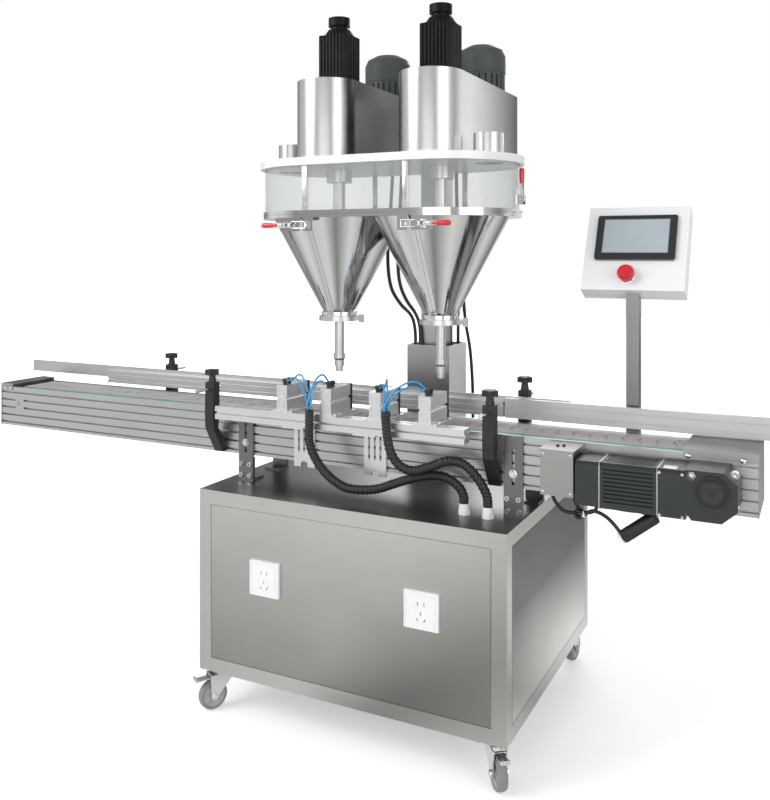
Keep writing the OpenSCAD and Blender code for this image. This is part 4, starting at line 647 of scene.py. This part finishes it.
for x in motorSettings["headScrews"]:
    for z in motorSettings["headRows"]:
        bolt(mesh, (x, motorSettings["headFront"], z), (0, -1, 0), 3.4)
place("gearbox_bolts", mesh, "bright", "cabinet")
mesh = bmesh.new()
half = motorSettings["half"]
cut = motorSettings["cut"]
section = [(-half + cut, -half), (half - cut, -half), (half, -half + cut), (half, half - cut),
           (half - cut, half), (-half + cut, half), (-half, half - cut), (-half, -half + cut)]
for x in motorSettings["seams"]:
    where = Matrix.Translation(at(x - 1.2, motorSettings["axisY"], motorSettings["axisZ"])) \
        @ Matrix.Rotation(radians(90), 4, "Y") @ Matrix.Rotation(radians(90), 4, "Z")
    growth = motorSettings["seamGrowth"]
    extrude(mesh, [(a * growth, b * growth) for a, b in section], 2.4, where)
place("motor_seams", mesh, "zinc", "cabinet")
mesh = bmesh.new()
block(mesh, motorSettings["stickerLow"], motorSettings["stickerHigh"], 0.1)
place("motor_sticker", mesh, "white", "cabinet")

# Screws on the wiring box and on the end covers
coverScrewSettings = {"boxTop": ((932, 78, 762.7), (944, 84, 762.7)),
                      "right": ((1201, 124, 759), (1311, 124, 759)),
                      "left": ((-880, 128, 759), (-858, 128, 759)),
                      "boxFront": ((909, 40, 669), (909, 40, 752), (970, 40, 669), (970, 40, 752))}
mesh = bmesh.new()
for spot in coverScrewSettings["boxTop"]:
    bolt(mesh, spot, (0, 0, 1), 3.6)
place("box_screws", mesh, "matt", "cabinet")
mesh = bmesh.new()
for side, size in (("right", 5.6), ("left", 3.4), ("boxFront", 2.6)):
    for spot in coverScrewSettings[side]:
        bolt(mesh, spot, (0, -1, 0), size, "pan")
place("cover_screws", mesh, "bright", "cabinet")
print("drive end dressed")

# Wall sockets: painted shade, dark blocks behind the holes where the inside of each hole lies in shade, three
# upright and two leaning
socketSettings = {"lefts": (163.5, 594), "foot": 331, "size": 86, "pockets": ((-9, 10), (7, 10), (-1, -12)),
                  "near": -0.1, "far": (2.1, 9.1), "face": -1.5, "bottom": -6.8,
                  "leaningAcross": 9, "leaningDown": 22, "lean": 30, "leaningDepth": 5.3}
mesh = bmesh.new()
for left in socketSettings["lefts"]:
    middle = left + socketSettings["size"] / 2
    height = socketSettings["foot"] + socketSettings["size"] / 2
    near = socketSettings["near"]
    farX, farZ = socketSettings["far"]
    for x0, z0 in socketSettings["pockets"]:
        block(mesh, (middle + x0 + near, socketSettings["face"], height + z0 + near),
              (middle + x0 + farX, socketSettings["bottom"], height + z0 + farZ), 0)
    for side in (-1, 1):
        x = middle + side * socketSettings["leaningAcross"]
        where = Matrix.Translation(at(x, socketSettings["face"], height - socketSettings["leaningDown"])) \
            @ Matrix.Rotation(radians(side * socketSettings["lean"]), 4, "Y") \
            @ Matrix.Rotation(radians(90), 4, "X")
        extrude(mesh, [(-1.1, -4.6), (1.1, -4.6), (1.1, 4.6), (-1.1, 4.6)],
                socketSettings["leaningDepth"], where)
place("socket_hole_shade", mesh, "rubber", "cabinet")

# Casters: rounded tyres and hubs stand in for the wheels, with nuts on the axles and rings on the swivels
casterSettings = {"corners": {"front_left": (45, 45, 240), "front_right": (795, 45, 307),
                              "rear_left": (45, 681, 72), "rear_right": (795, 681, 84)},
                  "trail": 32, "radius": 37.5, "half": 12, "forkHalf": 17}
for cornerName, (x, y, turn) in casterSettings["corners"].items():
    hub = Matrix.Translation(at(x, y, 0)) @ Matrix.Rotation(radians(turn), 4, "Z") \
        @ Matrix.Translation((casterSettings["trail"] / 1000, 0, casterSettings["radius"] / 1000)) \
        @ Matrix.Rotation(radians(90), 4, "X")
    r, h = casterSettings["radius"], casterSettings["half"]
    mesh = bmesh.new()
    revolve(mesh, [(r - 9, -h + 1), (r - 5, -h), (r - 2.6, -h + 1.2), (r - 0.9, -h + 4), (r - 0.15, -h + 7.5),
                   (r, 0), (r - 0.15, h - 7.5), (r - 0.9, h - 4), (r - 2.6, h - 1.2), (r - 5, h),
                   (r - 9, h - 1)], hub, 72)
    place("tyre_" + cornerName, mesh, "tyre", "wheel_" + cornerName, ["wheel_" + cornerName])
    mesh = bmesh.new()
    revolve(mesh, [(4.05, -13.4), (9, -13.4), (9, -8), (20, -6.5), (24, -8), (r - 8.9, -10.6),
                   (r - 8.9, 10.6), (24, 8), (20, 6.5), (9, 8), (9, 13.4), (4.05, 13.4)], hub, 48)
    for k in range(6):
        rib = hub @ Matrix.Rotation(radians(60 * k), 4, "Z") @ Matrix.Translation((0, 0, -0.0093))
        extrude(mesh, [(9, -1.1), (25, -1.1), (25, 1.1), (9, 1.1)], 18.6, rib)
    place("hub_" + cornerName, mesh, "hub", "wheel_" + cornerName, ["wheel_" + cornerName])
    mesh = bmesh.new()
    for way in (-1, 1):
        side = hub @ Matrix.Translation((0, 0, way * casterSettings["forkHalf"] / 1000)) \
            @ Matrix.Rotation(radians(0 if way > 0 else 180), 4, "X")
        revolve(mesh, [(9, 0), (9, 1), (0, 1)], side, 24)
        revolve(mesh, [(7.4, 0.8), (7.4, 4.4), (6.6, 5), (0, 5)], side, 6)
    swivel = Matrix.Translation(at(x, y, 0))
    revolve(mesh, [(24.2, 89.5), (25.6, 91), (25.6, 94), (24.2, 95.6), (24.2, 97.5), (23, 99.6),
                   (11, 99.6)], swivel, 48)
    place("nuts_" + cornerName, mesh, "zinc", "fork_" + cornerName)
print("casters dressed")

# Latches: steel levers with rivets and rounded red grips
latchSettings = {"left": (268.75, 10, 1260), "right": (623.25, 10, 1260), "end": (806, 212, 1321),
                 "sideCheeks": (-6.2, 3.7), "endCheeks": (-7.5, 5.2), "link": (18, 42), "flatten": 0.78}
for side, way in (("left", -1), ("right", 1)):
    x, y, z = latchSettings[side]
    body = "latch_lever_" + side
    mesh = bmesh.new()
    for low in latchSettings["sideCheeks"]:
        outline = [(-6, -4), (20, -4), (46, -2.8), (46, 2.8), (20, 4), (-6, 4)]
        extrude(mesh, [(way * a, b) for a, b in outline], 2.5,
                Matrix.Translation(at(x, y, z)) @ Matrix.Translation((0, 0, low / 1000)))
    revolve(mesh, [(0, -10.8), (3.6, -10.8), (4.2, -9.8), (3, -9.4), (3, 9.4), (4.2, 9.8), (3.6, 10.8),
                   (0, 10.8)], Matrix.Translation(at(x, y, z)), 20)
    revolve(mesh, [(0, -7.4), (2.6, -7.4), (3, -6.6), (2, -6.2), (2, 6.2), (3, 6.6), (2.6, 7.4), (0, 7.4)],
            Matrix.Translation(at(x + way * 14, y, z)), 20)
    x0, x1 = sorted(x + way * reach for reach in latchSettings["link"])
    block(mesh, (x0, y - 2.2, z - 3.8), (x1, y + 2.2, z + 3.8), 0.8)
    place("latch_arms_" + side, mesh, "zinc", body, [body])
    mesh = bmesh.new()
    revolve(mesh, [(0, 33.5), (4.2, 33.6), (4.8, 35), (5.2, 42), (6.0, 56), (6.4, 68), (6.2, 75), (5.0, 79),
                   (2.6, 80.6), (0, 81)], standing(at(x, y, z), (way, 0, 0)), 28)
    middleY = at(0, y, 0).y
    for v in mesh.verts:
        v.co.y = middleY + (v.co.y - middleY) * latchSettings["flatten"]
    place("latch_grip_" + side, mesh, "red", body, [body])
x, y, z = latchSettings["end"]
mesh = bmesh.new()
for low in latchSettings["endCheeks"]:
    outline = [(-4, -6), (4, -6), (3.6, 20), (2.8, 38), (-2.8, 38), (-3.6, 20)]
    extrude(mesh, outline, 2.3, Matrix.Translation(at(x, y - low, z)) @ Matrix.Rotation(radians(90), 4, "X"))
revolve(mesh, [(0, -11), (3.6, -11), (3.6, -9.9), (3, -9.7), (3, 9.7), (3.6, 9.9), (3.6, 11), (0, 11)],
        standing(at(x, y, z), (0, 1, 0)), 20)
place("latch_arms_end", mesh, "zinc", "latch_lever_end", ["latch_lever_end"])
mesh = bmesh.new()
revolve(mesh, [(0, 31), (4.4, 31.2), (5, 33), (5.4, 40), (6.1, 54), (6.4, 65), (6.1, 71), (5, 74.6),
               (2.6, 75.8), (0, 76)], standing(at(x, y, z), (0, 0, 1)), 28)
place("latch_grip_end", mesh, "red", "latch_lever_end", ["latch_lever_end"])
print("latches dressed")

# Shroud: steel strips with screws over its joints
shroudSettings = {"middleX": 446, "reach": 138, "half": 7.4, "front": 22.4, "back": 401.6, "low": 1297.2,
                  "high": 1408.8, "screws": (1312, 1353, 1394)}
mesh = bmesh.new()
for side in (-1, 1):
    x = shroudSettings["middleX"] + side * shroudSettings["reach"]
    for y0, y1, way in ((shroudSettings["front"] - 1.6, shroudSettings["front"] + 0.4, -1),
                        (shroudSettings["back"] - 0.4, shroudSettings["back"] + 1.6, 1)):
        block(mesh, (x - shroudSettings["half"], y0, shroudSettings["low"]),
              (x + shroudSettings["half"], y1, shroudSettings["high"]), 0.3)
        for z in shroudSettings["screws"]:
            bolt(mesh, (x, y0 if way < 0 else y1, z), (0, way, 0), 2.4, "pan")
place("shroud_strips", mesh, "zinc", "head")

# Drive covers: screws at the foot
coverSettings = {"middles": (298.75, 593.25), "half": 81, "screwRow": 1450, "screws": (250, 420, 540)}
mesh = bmesh.new()
for x in coverSettings["middles"]:
    for y in coverSettings["screws"]:
        for side in (-1, 1):
            spot = (x + side * coverSettings["half"], y, coverSettings["screwRow"])
            bolt(mesh, spot, (side, 0, 0), 3.2, "pan")
place("drive_cover_screws", mesh, "bright", "head")
print("head dressed")


# Lights, world and floor
def areaLight(name, target, distance, azimuth, height, size, power):
    data = bpy.data.lights.new(name, "AREA")
    data.shape = "RECTANGLE"
    data.size, data.size_y = size
    data.energy = power
    made = bpy.data.objects.new(name, data)
    turn = radians(azimuth)
    made.location = Vector((target[0] + distance * sin(turn), target[1] - distance * cos(turn), height))
    made.rotation_euler = (Vector(target) - made.location).to_track_quat("-Z", "Y").to_euler()
    bpy.context.scene.collection.objects.link(made)


# Grey steps for a colour ramp, from stops of place and brightness
def greyRamp(tree, source, stops):
    ramp = node(tree, "ShaderNodeValToRGB")
    tree.links.new(source, ramp.inputs["Fac"])
    elements = ramp.color_ramp.elements
    for spot, value in stops[1:-1]:
        elements.new(spot).color = (value, value, value, 1)
    elements[0].color = (stops[0][1],) * 3 + (1,)
    elements[-1].color = (stops[-1][1],) * 3 + (1,)
    return ramp.outputs["Color"]


# Each light: what it looks at, distance, azimuth, height, size and power
lightSettings = {
    "key": ((0, 0, 0.9), 3.6, -38, 3.0, (2.2, 2.6), 95),
    "fill": ((0, 0, 0.7), 4.2, 62, 1.8, (2.4, 2.4), 42),
    "front": ((0, 0, 0.5), 4.6, 15, 1.2, (3.0, 1.8), 36),
    "rear": ((0, 0, 1.0), 3.8, 190, 2.8, (2.4, 1.8), 50),
}
for name, values in lightSettings.items():
    areaLight(name, *values)

# World: grey bands for glossy rays, plain white where the camera sees it or looks through the shroud
studioBands = [(0.0, 0.85), (0.10, 0.32), (0.17, 0.9), (0.26, 1.0), (0.33, 0.24), (0.42, 0.55), (0.52, 1.0),
               (0.62, 0.8), (0.70, 0.3), (0.80, 0.95), (0.90, 0.5), (1.0, 0.85)]
worldSettings = {"soft": (0.52, 0.52, 0.53), "seen": (1.0, 1.0, 1.0), "overhead": 0.62}
world = bpy.data.worlds.new("studio")
bpy.context.scene.world = world
world.use_nodes = True
tree = world.node_tree
background = tree.nodes["Background"]
rays = node(tree, "ShaderNodeLightPath")
facing = node(tree, "ShaderNodeTexCoord")
parts = node(tree, "ShaderNodeSeparateXYZ")
tree.links.new(facing.outputs["Generated"], parts.inputs[0])
angle = node(tree, "ShaderNodeMath", operation="ARCTAN2")
tree.links.new(parts.outputs["X"], angle.inputs[0])
tree.links.new(parts.outputs["Y"], angle.inputs[1])
bands = greyRamp(tree, spread(tree, angle.outputs[0], 0, 1, -pi, pi), studioBands)
heightValue = spread(tree, parts.outputs["Z"], 1.0, worldSettings["overhead"], 0.0, 1.0)
scaled = node(tree, "ShaderNodeMix", data_type="RGBA", blend_type="MULTIPLY")
scaled.inputs["Factor"].default_value = 1
tree.links.new(bands, scaled.inputs[6])
tree.links.new(heightValue, scaled.inputs[7])
forGloss = blendColours(tree, rays.outputs["Is Glossy Ray"], worldSettings["soft"], scaled.outputs[2])
seen = node(tree, "ShaderNodeMath", operation="MAXIMUM")
tree.links.new(rays.outputs["Is Camera Ray"], seen.inputs[0])
tree.links.new(rays.outputs["Is Transmission Ray"], seen.inputs[1])
shown = blendColours(tree, seen.outputs[0], forGloss, worldSettings["seen"])
tree.links.new(shown, background.inputs["Color"])
background.inputs["Strength"].default_value = 1

# Floor: pale, lifted to white for the camera away from the machine, and banded in reflections
glossBands = [(0.0, 0.5), (0.08, 0.95), (0.15, 0.78), (0.24, 0.92), (0.31, 0.3), (0.40, 0.95), (0.52, 0.35),
              (0.60, 0.9), (0.70, 0.22), (0.79, 0.8), (0.90, 0.3), (1.0, 0.5)]
floorSettings = {"size": 14, "drop": -0.0005, "near": 1.5, "far": 5.0, "nearLift": 0.37, "farLift": 1.3,
                 "colour": (0.86, 0.86, 0.86, 1), "roughness": 0.9}
floorMesh = bmesh.new()
bmesh.ops.create_grid(floorMesh, x_segments=2, y_segments=2, size=floorSettings["size"])
floorData = bpy.data.meshes.new("floor")
floorMesh.to_mesh(floorData)
floorObject = bpy.data.objects.new("floor", floorData)
floorObject.location.z = floorSettings["drop"]
bpy.context.scene.collection.objects.link(floorObject)
floorFinish, tree, shader = startMaterial("pale_floor")
shader.inputs["Base Color"].default_value = floorSettings["colour"]
shader.inputs["Roughness"].default_value = floorSettings["roughness"]
rays = node(tree, "ShaderNodeLightPath")
where = node(tree, "ShaderNodeTexCoord")
sweep = node(tree, "ShaderNodeTexGradient", gradient_type="RADIAL")
tree.links.new(where.outputs["Object"], sweep.inputs["Vector"])
glow = node(tree, "ShaderNodeEmission")
tree.links.new(greyRamp(tree, sweep.outputs["Fac"], glossBands), glow.inputs["Color"])
lift = node(tree, "ShaderNodeEmission", Color=(1, 1, 1, 1))
away = node(tree, "ShaderNodeVectorMath", operation="LENGTH")
tree.links.new(where.outputs["Object"], away.inputs[0])
further = spread(tree, away.outputs["Value"], floorSettings["nearLift"], floorSettings["farLift"],
                 floorSettings["near"], floorSettings["far"])
seenLift = node(tree, "ShaderNodeMath", operation="MULTIPLY")
tree.links.new(rays.outputs["Is Camera Ray"], seenLift.inputs[0])
tree.links.new(further, seenLift.inputs[1])
tree.links.new(seenLift.outputs[0], lift.inputs["Strength"])
lifted = node(tree, "ShaderNodeAddShader")
tree.links.new(shader.outputs[0], lifted.inputs[0])
tree.links.new(lift.outputs[0], lifted.inputs[1])
byRay = node(tree, "ShaderNodeMixShader")
tree.links.new(rays.outputs["Is Glossy Ray"], byRay.inputs[0])
tree.links.new(lifted.outputs[0], byRay.inputs[1])
tree.links.new(glow.outputs[0], byRay.inputs[2])
tree.links.new(byRay.outputs[0], tree.nodes["Material Output"].inputs["Surface"])
floorData.materials.append(floorFinish)
print("lights and floor set")
